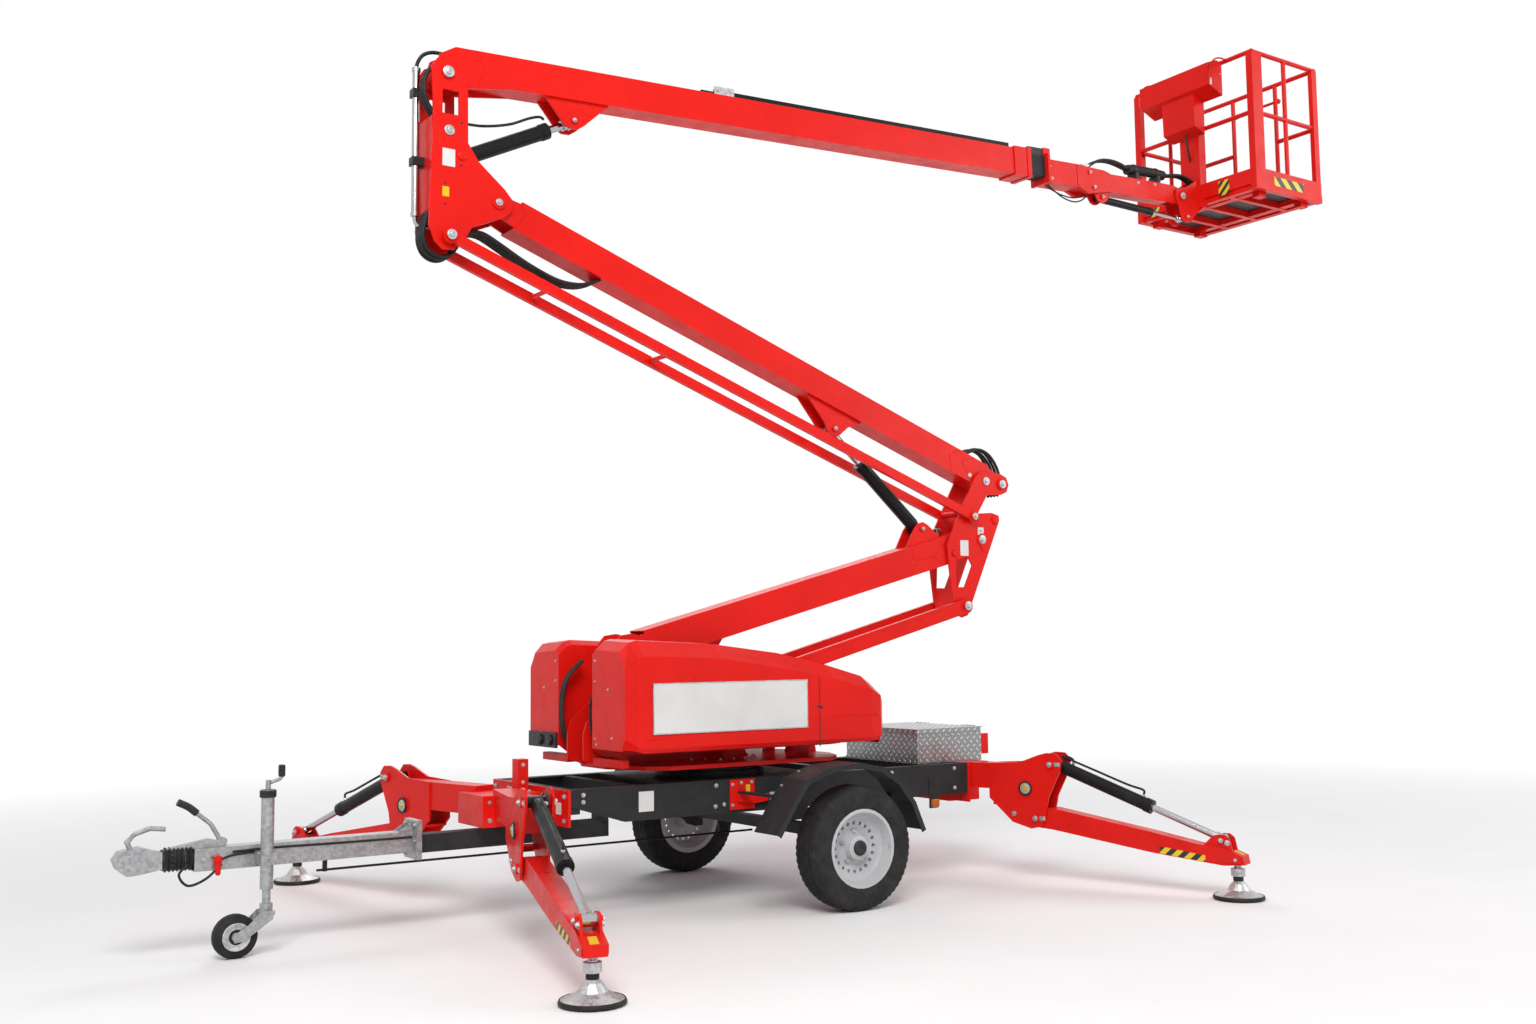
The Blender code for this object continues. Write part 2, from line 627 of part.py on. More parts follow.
def bar_pair(start, end, half_h, boss_r, ties, drop):
    """Two parallel bars outside the plates, with bosses at their ends and tie bars at these shares of the length."""
    length = span(start, end)
    solids = []
    for share in ties:
        at = share * length
        solids.append(rod((at, -BAR[0] - 0.01, -drop), (at, BAR[0] + 0.01, -drop), 0.014, 10))
    for side in (1, -1):
        lo, hi = sorted((side * BAR[0], side * BAR[1]))
        solids.append(prism([(0, -half_h), (length, -half_h), (length, half_h), (0, half_h)], lo, hi))
        for at in (0.0, length):
            inner, outer = side * BAR[0], side * (BAR[1] + 0.002)
            solids.append(rod((at, inner, 0), (at, outer, 0), boss_r, 16))
            solids.append(rod((at, side * BAR[1], 0), (at, side * (BAR[1] + 0.012), 0), PIN_R, 10))
    return moved(combine(solids), seat_on(start, end))


KNUCKLE = [(1.389, 2.032), (1.465, 2.172), (1.545, 2.310), (1.640, 2.476), (1.685, 2.512), (1.861, 2.510),
           (1.915, 2.488), (1.935, 2.440), (1.915, 2.392), (1.865, 2.372), (1.742, 2.365), (1.657, 2.240),
           (1.776, 2.249), (1.839, 2.233), (1.837, 2.186), (1.580, 1.640), (1.550, 1.580), (1.500, 1.565),
           (1.455, 1.590), (1.435, 1.650), (1.403, 1.895)]
KNUCKLE_WINDOW = [(1.455, 1.760), (1.530, 1.760), (1.600, 1.900), (1.565, 1.955), (1.465, 1.935)]


def build_knuckle():
    solids = both_sides(KNUCKLE, *PLATE)
    solids += heads(KNUCKLE_PIN, 0.096, 0.106, 0.042, 12)
    solids += heads(MID_FOOT, 0.096, 0.112, 0.038, 10)
    for point in (KNUCKLE_LINK_PIN, MID_ROD_FOOT):
        solids += heads(point, 0.096, BAR[0] - 0.0005, 0.040, 8)
    solids += [across((1.520, 2.235), 0.020, 0.095, 10), across((1.792, 2.160), 0.020, 0.095, 10)]
    return combine(solids, both_sides(KNUCKLE_WINDOW, 0.07, 0.12))


def build_mid_boom():
    length = span(MID_FOOT, MID_HEAD)
    solids = [rect_tube(0.13, length - 0.13, BOOM_HALF, -0.083, 0.083, 0.006)]
    solids += boom_ends(length, 0.083)
    lug = [(1.16, -0.078), (1.25, -0.150), (1.300, -0.232), (1.340, -0.242), (1.385, -0.232), (1.430, -0.190),
           (1.62, -0.078)]
    solids += lug_pair(lug, (1.342, -0.200))
    return moved(combine(solids), seat_on(MID_FOOT, MID_HEAD))


MAST = [(-2.082, 4.440), (-2.050, 4.490), (-1.993, 4.508), (-1.930, 4.490), (-1.880, 4.420), (-1.876, 4.060),
        (-1.816, 3.970), (-1.665, 3.842), (-1.620, 3.790), (-1.622, 3.735), (-1.665, 3.690), (-1.850, 3.610),
        (-1.905, 3.520), (-1.950, 3.475), (-2.015, 3.470), (-2.060, 3.510), (-2.090, 3.590), (-2.070, 4.190)]
MAST_WINDOW = [(-2.020, 4.330), (-1.930, 4.330), (-1.930, 4.200), (-2.020, 4.200)]


def build_mast():
    solids = both_sides(MAST, *PLATE)
    for point in (MAST_PIN, MID_HEAD):
        solids += heads(point, 0.096, 0.110, 0.036, 12)
    solids += heads(UPPER_CYL[0], 0.0450, 0.092, 0.034, 8)
    solids += heads(MID_ROD_HEAD, 0.096, BAR[0] - 0.0005, 0.040, 8)
    solids.append(box(-2.075, -2.063, -0.090, 0.090, 3.640, 4.180))
    solids.append(prism([(-1.835, 3.955), (-1.825, 3.965), (-1.725, 3.880), (-1.735, 3.870)], -0.090, 0.090))
    return combine(solids, both_sides(MAST_WINDOW, 0.07, 0.12))


def upper_seat():
    angle = math.radians(UPPER_ANGLE)
    return seat_on(MAST_PIN, (MAST_PIN[0] + math.cos(angle), MAST_PIN[1] + math.sin(angle)))


UPPER_HALF = 0.075


def build_upper_boom():
    solids = [rect_tube(0.16, 4.11, UPPER_HALF, -0.025, 0.155, 0.005)]
    root = [(-0.060, 0.010), (-0.050, -0.045), (0.0, -0.065), (0.12, -0.062), (0.42, -0.024), (0.42, 0.154),
            (0.06, 0.154), (-0.03, 0.105)]
    solids += both_sides(root, UPPER_HALF - 0.010, UPPER_HALF + 0.003)
    solids.append(across((0, 0), 0.050, BOSS_HALF))
    lug = [(0.58, -0.021), (0.69, -0.165), (0.725, -0.185), (0.775, -0.185), (0.815, -0.160), (0.98, -0.021)]
    solids += lug_pair(lug, (0.7513, -0.1386))
    collar = rect_tube(4.09, 4.24, UPPER_HALF + 0.010, -0.035, 0.165, 0.021)
    solids.append(collar)
    solids.append(rect_tube(4.205, 4.24, UPPER_HALF + 0.016, -0.041, 0.171, 0.0325))
    return moved(combine(solids), upper_seat())


def build_cable_tray():
    outline = [(-0.036, 0.1573), (0.036, 0.1573), (0.036, 0.196), (0.032, 0.196), (0.032, 0.1613), (-0.032, 0.1613),
               (-0.032, 0.196), (-0.036, 0.196)]
    trough = prism(outline, 1.70, 4.085, "X")
    feet = [box(s, s + 0.04, -0.030, 0.030, 0.1553, 0.159) for s in (1.75, 2.50, 3.25, 4.02)]
    return moved(combine([trough] + feet), upper_seat())


def build_telescope():
    solids = [rect_tube(0.55, 4.3997, 0.058, -0.008, 0.138, 0.005)]
    return moved(solids, upper_seat())


def build_nose():
    solids = [box(4.400, 4.422, -0.090, 0.090, -0.050, 0.155)]
    solids.append(rect_tube(4.41, 4.790, 0.070, -0.045, 0.118, 0.006))
    cheek = [(4.70, 0.115), (4.97, 0.105), (5.03, 0.090), (5.03, -0.040), (4.93, -0.060), (4.80, -0.080), (4.70, -0.042)]
    solids += both_sides(cheek, 0.046, 0.074)
    solids.append(rect_tube(4.74, 5.66, 0.050, -0.040, 0.095, 0.006))
    tip = [(5.60, -0.040), (5.74, -0.038), (5.800, -0.040), (5.845, -0.015), (5.858, 0.015), (5.845, 0.045),
           (5.800, 0.075), (5.74, 0.092), (5.60, 0.095)]
    solids += both_sides(tip, 0.038, 0.050)
    solids.append(across((5.8003, 0.0148), 0.044, 0.0550))
    hanger = [(4.88, -0.035), (4.925, -0.105), (4.955, -0.120), (4.985, -0.120), (5.015, -0.105), (5.07, -0.035)]
    solids += lug_pair(hanger, (4.9677, -0.0821), (0.030, 0.042))
    for point in ((4.823, 0.072), (4.860, -0.030)):
        solids += heads(point, 0.070, 0.082, 0.018)
    return moved(combine(solids), upper_seat())


def rail(points):
    return sweep(points, TUBE_R)


def build_cage():
    x0, x1 = CAGE_X
    half = CAGE_HALF_Y
    z0, top, mid = CAGE_Z, RAIL_Z, MID_RAIL_Z
    solids = []
    for y in (-half, half):
        lo, hi = sorted((y, y - math.copysign(0.05, y)))
        solids.append(box(x0 - 0.02, x1 + 0.02, lo, hi, z0, z0 + 0.050))
    for x in (x0, x1 - 0.05):
        solids.append(box(x, x + 0.05, -half + 0.01, half - 0.01, z0 + 0.001, z0 + 0.049))
    for y in (-0.28, 0.0, 0.28):
        solids.append(box(x0 + 0.01, x1 - 0.01, y - 0.020, y + 0.020, z0 + 0.002, z0 + 0.048))
    for side in (1, -1):
        lo, hi = sorted((side * (half - 0.003), side * half))
        solids.append(box(x0 - 0.015, x1 + 0.015, lo, hi, z0 + 0.04, z0 + 0.155))
    solids.append(box(x0 - 0.015, x0 - 0.012, -half + 0.001, half - 0.001, z0 + 0.04, z0 + 0.154))
    solids.append(box(x1 + 0.012, x1 + 0.015, -half + 0.001, half - 0.001, z0 + 0.04, z0 + 0.154))
    loop = [(x0, -half + 0.02), (x0, half - 0.02), (x1, half - 0.02), (x1, -half + 0.02)]
    for z in (top, mid):
        for (ax, ay), (bx, by) in zip(loop, loop[1:] + loop[:1]):
            if z == mid and ax == bx == x1:
                for side in (1, -1):
                    solids.append(rod((x1, side * (half - 0.02), z), (x1, side * 0.200, z), TUBE_R, 8))
            else:
                solids.append(rod((ax, ay, z), (bx, by, z), TUBE_R, 8))
    wide = [(x0 - 0.020, -half), (x0 + 0.090, -half), (x0 + 0.090, -half + 0.004), (x0 - 0.016, -half + 0.004),
            (x0 - 0.016, -half + 0.055), (x0 - 0.020, -half + 0.055)]
    solids.append(prism(wide, z0 + 0.045, top - 0.01, "Z"))
    solids.append(prism([(x, -y) for x, y in wide], z0 + 0.045, top - 0.01, "Z"))
    for side in (1, -1):
        lo, hi = sorted((side * (half - 0.035), side * (half + 0.001)))
        solids.append(box(x1 - 0.045, x1 + 0.010, lo, hi, z0 + 0.045, top - 0.005))
        solids.append(rod((x1, side * 0.200, z0 + 0.045), (x1, side * 0.200, top), TUBE_R, 8))
        for x in (x0 + 0.37,):
            solids.append(rod((x, side * (half - 0.02), z0 + 0.045), (x, side * (half - 0.02), top), TUBE_R, 8))
    channel = [(x0 - 0.060, -0.090), (x0 + 0.012, -0.090), (x0 + 0.012, -0.084), (x0 - 0.054, -0.084),
               (x0 - 0.054, 0.084), (x0 + 0.012, 0.084), (x0 + 0.012, 0.090), (x0 - 0.060, 0.090)]
    solids.append(prism(channel, z0 - 0.030, top - 0.02, "Z"))
    px, pz = CAGE_PIN
    yoke = [(px - 0.055, pz + 0.042), (px - 0.010, pz + 0.065), (px + 0.060, pz + 0.080), (x0 - 0.005, pz + 0.190),
            (x0 - 0.005, pz - 0.045), (px + 0.160, pz - 0.110), (px + 0.090, pz - 0.185), (px + 0.045, pz - 0.192),
            (px, pz - 0.165), (px - 0.030, pz - 0.070), (px - 0.062, pz - 0.020)]
    solids += both_sides(yoke, 0.0555, 0.0675)
    solids += heads(CAGE_PIN, 0.064, 0.080, 0.032, 12)
    solids += heads(LEVEL_CYL[1], 0.0235, 0.076, 0.018, 12)
    solids.append(rod((x1, -0.200, BAR_PIVOT[2]), (BAR_PIVOT[0] - 0.0123, -0.200, BAR_PIVOT[2]), 0.013))
    solids.append(box(x1, BAR_PIVOT[0] + 0.012, 0.188, 0.212, BAR_PIVOT[2] - 0.024, BAR_PIVOT[2] - 0.0115))
    for x in (x0 + 0.12, x1 - 0.12):
        solids.append(box(x - 0.04, x + 0.04, -half + 0.06, -half + 0.12, z0 - 0.035, z0 + 0.010))
        solids.append(box(x - 0.04, x + 0.04, half - 0.12, half - 0.06, z0 - 0.035, z0 + 0.010))
        solids.append(box(x - 0.03, x + 0.03, -half + 0.02, half - 0.02, z0 + 0.005, z0 + 0.045))
    return combine(solids)


def build_cage_floor():
    x0, x1 = CAGE_X
    half = CAGE_HALF_Y - 0.056
    return [box(x0 + 0.096, x1 - 0.050, -half, half, CAGE_Z + 0.0493, CAGE_Z + 0.0543)]


def build_console():
    x0 = CAGE_X[0] - 0.0603
    top = RAIL_Z - 0.02
    housing = [(x0 - 0.150, top - 0.20), (x0, top - 0.26), (x0, top - 0.01), (x0 - 0.060, top), (x0 - 0.165, top - 0.04)]
    solids = [prism(housing, -0.325, 0.325)]
    under = [(x0 - 0.110, top - 0.46), (x0, top - 0.50), (x0, top - 0.24), (x0 - 0.120, top - 0.18)]
    solids.append(prism(under, -0.150, 0.150))
    return combine(solids)


def build_cage_bar():
    x, y, z = BAR_PIVOT
    solids = [rod((x, y, z), (x, y + 0.425, z), 0.011, 8)]
    solids.append(rod((x - 0.0120, y, z), (x + 0.012, y, z), 0.020, 12))
    return combine(solids)


def build_all():
    clear_scene()
    red = paint("red", (0.62, 0.018, 0.020), 0.0, 0.35)
    grey = paint("dark_grey", (0.045, 0.047, 0.052), 0.0, 0.45)
    black = paint("black", (0.012, 0.012, 0.013), 0.0, 0.40)
    zinc = paint("zinc", (0.42, 0.43, 0.44), 0.9, 0.45)
    chrome = paint("chrome", (0.75, 0.75, 0.76), 1.0, 0.10)
    silver = paint("silver", (0.55, 0.56, 0.58), 0.6, 0.35)
    chequer = paint("chequer_plate", (0.62, 0.63, 0.64), 1.0, 0.35)
    rubber = paint("tyre", (0.018, 0.018, 0.018), 0.0, 0.85)
    mesh = paint("floor_mesh", (0.10, 0.10, 0.11), 0.3, 0.6)

    node("chassis", build_chassis(), grey)
    node("drawbar", build_drawbar(), zinc)
    node("coupling", build_coupling(), zinc)
    tube, leg, fork, wheel = build_jockey()
    node("jockey_tube", tube, zinc)
    node("jockey_leg", leg, zinc, (*JOCKEY, 0.5))
    node("jockey_fork", fork, zinc, (*JOCKEY, 0.2))
    node("jockey_wheel", wheel, rubber, JOCKEY_WHEEL)
    node("axle", build_axle(), black)
    for side, name in ((-1, "near"), (1, "far")):
        tyre, rim = build_wheel(side)
        hub = (0, side * WHEEL_Y, WHEEL_R)
        node("tyre_" + name, tyre, rubber, hub)
        node("rim_" + name, rim, silver, hub)
    mudguard = build_mudguard()
    node("mudguard_far", mudguard, grey)
    node("mudguard_near", mirrored(mudguard), grey)
    toolbox, lid = build_toolbox()
    node("toolbox", toolbox, chequer)
    node("toolbox_lid", lid, chequer, (1.421, 0, 0.889))
    node("front_frame", build_front_frame(), red)
    node("rear_frame", build_rear_frame(), red)
    arm, pad, barrel, stem = build_outrigger()
    for place in OUTRIGGERS:
        matrix = outrigger_matrix(place)
        pivot = matrix @ Vector((0, 0, ARM_PIVOT_Z))
        base = matrix @ Vector((ARM_CYL_BASE[0], 0, ARM_CYL_BASE[1]))
        node("arm_" + place.name, moved(arm, matrix), red, pivot)
        node("pad_" + place.name, moved(pad, matrix), zinc, matrix @ Vector((PAD_D, 0, 0.1)))
        node("arm_barrel_" + place.name, moved(barrel, matrix), black, base)
        node("arm_rod_" + place.name, moved(stem, matrix), chrome, base)
    node("slew_ring", build_slew_ring(), black, (SLEW_X, 0, 0.7))
    node("turret_frame", build_turret_frame(), red, (SLEW_X, 0, 0.75))
    cover = build_cover()
    node("cover_far", cover, red)
    node("cover_near", mirrored(cover), red)
    node("lower_boom", build_lower_boom(), red, (TURRET_PIN[0], 0, TURRET_PIN[1]))
    link = bar_pair(TURRET_LINK_PIN, KNUCKLE_LINK_PIN, 0.045, 0.048, (0.5757, 0.8728), 0.030)
    node("lower_link", link, red, (TURRET_LINK_PIN[0], 0, TURRET_LINK_PIN[1]))
    node("knuckle", build_knuckle(), red, (KNUCKLE_PIN[0], 0, KNUCKLE_PIN[1]))
    node("mid_boom", build_mid_boom(), red, (MID_FOOT[0], 0, MID_FOOT[1]))
    rods = bar_pair(MID_ROD_FOOT, MID_ROD_HEAD, 0.0275, 0.042, (0.6301, 0.8401), 0.0)
    node("mid_rods", rods, red, (MID_ROD_FOOT[0], 0, MID_ROD_FOOT[1]))
    node("mast", build_mast(), red, (MID_HEAD[0], 0, MID_HEAD[1]))
    node("upper_boom", build_upper_boom(), red, (MAST_PIN[0], 0, MAST_PIN[1]))
    node("cable_tray", build_cable_tray(), black)
    node("telescope", build_telescope(), grey, (2.40, 0, 4.70))
    node("nose_arm", build_nose(), red)
    for name, pins, row in (
        ("lower", LOWER_CYL, (0.66, 0.045, 0.19, 0.024, 0.036, EYE_HALF, EYE_HALF)),
        ("mid", MID_CYL, (0.60, 0.042, 0.305, 0.022, 0.034, EYE_HALF, EYE_HALF)),
        ("upper", UPPER_CYL, (0.60, 0.042, 0.10, 0.022, 0.034, EYE_HALF, EYE_HALF)),
        ("level", LEVEL_CYL, (0.56, 0.027, 0.40, 0.014, 0.022, 0.0295, 0.0230)),
    ):
        barrel, stem = ram(*pins, *row)
        base = (pins[0][0], 0, pins[0][1])
        node(name + "_barrel", barrel, black, base)
        node(name + "_rod", stem, chrome, base)
    node("cage", build_cage(), red, (CAGE_PIN[0], 0, CAGE_PIN[1]))
    node("cage_floor", build_cage_floor(), mesh)
    node("console", build_console(), red)
    node("cage_bar", build_cage_bar(), red, BAR_PIVOT)
    for obj in bpy.data.objects:
        obj.location.x += AXLE_X


build_all()
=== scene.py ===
"""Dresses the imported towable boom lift: finishes, fastenings, hoses, lamps, labels, light and camera."""

import math

import bmesh
import bpy
from mathutils import Matrix, Vector
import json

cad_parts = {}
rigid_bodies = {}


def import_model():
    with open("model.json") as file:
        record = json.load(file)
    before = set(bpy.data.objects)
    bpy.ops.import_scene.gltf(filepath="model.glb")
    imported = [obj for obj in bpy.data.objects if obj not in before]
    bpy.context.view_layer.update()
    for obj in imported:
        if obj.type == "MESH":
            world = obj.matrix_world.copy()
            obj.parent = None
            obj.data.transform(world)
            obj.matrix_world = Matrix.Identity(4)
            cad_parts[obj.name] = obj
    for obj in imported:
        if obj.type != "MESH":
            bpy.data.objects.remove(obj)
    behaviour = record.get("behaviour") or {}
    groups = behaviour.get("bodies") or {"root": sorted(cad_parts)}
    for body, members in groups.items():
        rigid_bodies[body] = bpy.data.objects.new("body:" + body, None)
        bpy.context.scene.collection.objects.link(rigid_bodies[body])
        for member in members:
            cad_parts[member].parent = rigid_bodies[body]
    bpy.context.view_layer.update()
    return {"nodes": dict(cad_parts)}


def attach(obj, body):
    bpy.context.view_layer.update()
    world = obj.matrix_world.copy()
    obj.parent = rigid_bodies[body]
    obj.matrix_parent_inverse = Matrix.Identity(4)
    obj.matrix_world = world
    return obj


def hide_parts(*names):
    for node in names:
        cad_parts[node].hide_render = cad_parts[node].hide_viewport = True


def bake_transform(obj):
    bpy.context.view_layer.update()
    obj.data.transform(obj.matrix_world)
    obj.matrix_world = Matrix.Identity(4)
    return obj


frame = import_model()
NODES = frame["nodes"]

# Places are measured from the axle, which stands at this X of the frame.
AXLE_X = -0.65375
SIDES = ((-1, "near"), (1, "far"))
BOTH = (1, -1)
NEAR = (-1,)
UP = (0, 0, 1)
LEGS = ("front_near", "front_far", "rear_near", "rear_far")

# Where fittings sit on flat faces, as distances from the middle plane.
CHASSIS_FACE = 0.4503
BRACKET_FACE = 0.4603
COVER_FACE = 0.6125
BOOM_FACE = 0.0803
PLATE_FACE = 0.1003
LABEL_FACE = 0.1002
WHEEL_Y = 0.885
WHEEL_Z = 0.327
JOCKEY_Y = -0.15

# Colours that several finishes share.
DUST = (0.34, 0.31, 0.27)
STAIN = (0.24, 0.22, 0.19)
BLOOM = (0.085, 0.08, 0.073)
WARNING_YELLOW = (0.8, 0.55, 0.02)
WARNING_BLACK = (0.018, 0.018, 0.018)


# Materials


class Nodes:
    """A node tree, with short ways to add and join nodes."""

    def __init__(self, tree):
        self.tree = tree

    def feed(self, node, inputs):
        """Joins outputs to a node's inputs, or gives those inputs values of their own."""
        for key, value in inputs.items():
            if isinstance(value, bpy.types.NodeSocket):
                self.tree.links.new(value, node.inputs[key])
            else:
                node.inputs[key].default_value = value
        return node

    def add(self, kind, inputs):
        return self.feed(self.tree.nodes.new(kind), inputs)

    def math(self, operation, *values):
        node = self.tree.nodes.new("ShaderNodeMath")
        node.operation = operation
        return self.feed(node, dict(enumerate(values))).outputs[0]

    def times(self, a, b):
        return self.math("MULTIPLY", a, b)

    def seen_directly(self):
        """1 for camera, glossy and transmission rays, 0 for the rays that light the object."""
        rays = self.add("ShaderNodeLightPath", {}).outputs
        seen = self.math("MAXIMUM", rays["Is Camera Ray"], rays["Is Glossy Ray"])
        return self.math("MAXIMUM", seen, rays["Is Transmission Ray"])

    def emitter(self, kind, colour, strength):
        """A background or emission node, as its output."""
        return self.add(kind, {"Color": (*colour, 1.0), "Strength": strength}).outputs[0]

    def show(self, output, factor, first, second):
        """Sends a mix of two shaders to the surface of the output node."""
        mixed = self.add("ShaderNodeMixShader", {0: factor, 1: first, 2: second})
        self.feed(self.tree.nodes[output], {"Surface": mixed.outputs[0]})


class Graph(Nodes):
    """The nodes of one material."""

    def __init__(self, name, colour, metallic=0.0, roughness=0.5):
        self.material = bpy.data.materials.new(name)
        self.material.use_nodes = True
        super().__init__(self.material.node_tree)
        self.shader = self.tree.nodes["Principled BSDF"]
        self.surface({"Base Color": (*colour, 1.0), "Metallic": metallic, "Roughness": roughness})
        self.place = self.add("ShaderNodeTexCoord", {}).outputs["Object"]

    def surface(self, inputs):
        """Sets or joins inputs of the material's shader."""
        self.feed(self.shader, inputs)

    def noise(self, scale, detail=4.0, rough=0.6, where=None):
        inputs = {"Scale": scale, "Detail": detail, "Roughness": rough, "Vector": where or self.place}
        return self.add("ShaderNodeTexNoise", inputs).outputs["Fac"]

    def cells(self, scale):
        return self.add("ShaderNodeTexVoronoi", {"Scale": scale, "Vector": self.place})

    def stretched(self, x, y, z):
        return self.add("ShaderNodeMapping", {"Scale": (x, y, z), "Vector": self.place}).outputs["Vector"]

    def remap(self, value, low, high, to_low=0.0, to_high=1.0):
        inputs = {"Value": value, "From Min": low, "From Max": high, "To Min": to_low, "To Max": to_high}
        return self.add("ShaderNodeMapRange", inputs).outputs["Result"]

    def mix(self, factor, a, b):
        """A colour between a and b; each is a colour triple or a socket."""
        node = self.tree.nodes.new("ShaderNodeMix")
        node.data_type = "RGBA"
        a, b = ((*value, 1.0) if isinstance(value, tuple) else value for value in (a, b))
        return self.feed(node, {"Factor": factor, 6: a, 7: b}).outputs[2]

    def split(self, vector):
        return self.add("ShaderNodeSeparateXYZ", {0: vector}).outputs

    def normal(self):
        """The three parts of the direction that a face looks in."""
        return self.split(self.add("ShaderNodeNewGeometry", {}).outputs["Normal"])

    def facing_up(self):
        """1 on faces that look up, 0 on the rest."""
        return self.remap(self.normal()[2], 0.35, 0.95)

    def colour(self, socket):
        self.surface({"Base Color": socket})

    def roughness(self, socket):
        self.surface({"Roughness": socket})

    def bump(self, height, strength, distance):
        inputs = {"Strength": strength, "Distance": distance, "Height": height}
        self.surface({"Normal": self.add("ShaderNodeBump", inputs).outputs["Normal"]})


def shade(colour, factor):
    return tuple(channel * factor for channel in colour)


def painted(name, colour, gloss, dirt, coat=0.0):
    """Sprayed steel: slight drift in the colour, road film low down, dust on top faces, orange peel."""
    g = Graph(name, colour, 0.0, gloss)
    g.surface({"Specular IOR Level": 0.14, "Coat Weight": coat, "Coat Roughness": 0.12})
    drift = g.remap(g.noise(2.3), 0.35, 0.7)
    base = g.mix(drift, shade(colour, 0.9), shade(colour, 1.06))
    speck = g.remap(g.noise(38.0, 6.0, 0.75), 0.6, 0.72, 0.0, 0.35)
    base = g.mix(speck, base, shade(colour, 0.55))
    height = g.split(g.place)[2]
    low = g.times(g.remap(height, 0.9, 0.1, 0.0, 1.0), g.remap(g.noise(7.0, 8.0, 0.7), 0.4, 0.75))
    film = g.times(low, dirt)
    top = g.times(g.facing_up(), g.remap(g.noise(5.0, 8.0, 0.7), 0.42, 0.78, 0.0, dirt))
    g.colour(g.mix(g.math("MAXIMUM", film, top), base, DUST))
    g.roughness(g.remap(g.noise(11.0), 0.3, 0.7, gloss - 0.07, gloss + 0.12))
    g.bump(g.noise(420.0, 2.0), 0.1, 0.0006)
    return g.material


def galvanised(name, colour):
    """Zinc with its spangle, and grey stains."""
    g = Graph(name, colour, 0.85, 0.45)
    spangle = g.cells(75.0)
    tint = g.remap(g.split(spangle.outputs["Color"])[0], 0.0, 1.0)
    base = g.mix(tint, shade(colour, 0.8), shade(colour, 1.15))
    stain = g.remap(g.noise(9.0, 8.0, 0.75), 0.56, 0.75, 0.0, 0.45)
    g.colour(g.mix(stain, base, STAIN))
    g.roughness(g.remap(tint, 0.0, 1.0, 0.34, 0.56))
    g.bump(g.noise(160.0, 4.0), 0.16, 0.0008)
    return g.material


def polished(name, colour):
    """Chromed steel with fine lines."""
    g = Graph(name, colour, 1.0, 0.1)
    lines = g.noise(60.0, 6.0, 0.7, g.stretched(0.4, 6.0, 6.0))
    g.roughness(g.remap(lines, 0.3, 0.7, 0.06, 0.2))
    g.colour(g.mix(g.remap(g.noise(25.0, 6.0), 0.55, 0.75, 0.0, 0.5), colour, shade(colour, 0.62)))
    g.bump(lines, 0.05, 0.0003)
    return g.material


def soft_black(name, colour, roughness, grain=260.0, depth=0.0008):
    """Rubber and moulded plastic, with a fine grain and a dusty bloom."""
    g = Graph(name, colour, 0.0, roughness)
    g.surface({"Specular IOR Level": 0.25})
    bloom = g.remap(g.noise(12.0, 8.0, 0.7), 0.45, 0.75, 0.0, 0.35)
    g.colour(g.mix(bloom, colour, BLOOM))
    g.roughness(g.remap(g.noise(30.0), 0.3, 0.7, roughness - 0.08, roughness + 0.08))
    g.bump(g.noise(grain, 3.0), 0.25, depth)
    return g.material


def chequer(name, colour):
    """Aluminium tread plate: raised ovals that turn a quarter from cell to cell."""
    g = Graph(name, colour, 1.0, 0.32)
    x, y, z = g.split(g.place)
    on_x, on_y = (g.math("GREATER_THAN", g.math("ABSOLUTE", part), 0.6) for part in g.normal()[:2])
    u = g.math("ADD", g.times(x, g.math("SUBTRACT", 1.0, on_x)), g.times(z, on_x))
    v = g.math("ADD", g.times(y, g.math("SUBTRACT", 1.0, on_y)), g.times(z, on_y))
    cells_a_metre = 20.0
    a, b = (g.times(g.math(way, u, v), cells_a_metre) for way in ("ADD", "SUBTRACT"))
    cell = g.math("ADD", g.math("FLOOR", a), g.math("FLOOR", b))
    parity = g.math("MODULO", g.math("ABSOLUTE", cell), 2.0)
    fa, fb = (g.math("SUBTRACT", g.math("FRACT", value), 0.5) for value in (a, b))
    flip = g.math("SUBTRACT", 1.0, parity)
    long_way = g.math("ADD", g.times(fa, parity), g.times(fb, flip))
    short_way = g.math("ADD", g.times(fb, parity), g.times(fa, flip))
    reach = g.math("ADD", g.math("POWER", g.times(long_way, 2.3), 2.0),
                   g.math("POWER", g.times(short_way, 7.0), 2.0))
    raised = g.remap(reach, 1.0, 0.55)
    # The raised ovals are painted lighter and the flat between them darker: painted highlight and painted
    # shade on the relief.
    g.colour(g.mix(raised, shade(colour, 0.62), shade(colour, 1.45)))
    g.roughness(g.remap(g.noise(14.0, 6.0), 0.3, 0.7, 0.24, 0.45))
    g.bump(raised, 0.9, 0.004)
    return g.material


def striped(name, axis, pitch):
    """Black and yellow warning bands, slanted."""
    g = Graph(name, WARNING_YELLOW, 0.0, 0.42)
    parts = g.split(g.place)
    phase = g.math("FRACT", g.math("DIVIDE", g.math("ADD", parts[axis], parts[2]), pitch))
    band = g.math("GREATER_THAN", phase, 0.5)
    worn = g.remap(g.noise(30.0, 6.0, 0.75), 0.6, 0.72, 0.0, 0.5)
    base = g.mix(band, WARNING_YELLOW, WARNING_BLACK)
    g.colour(g.mix(worn, base, (0.3, 0.22, 0.14)))
    g.bump(g.noise(300.0, 2.0), 0.08, 0.0005)
    return g.material


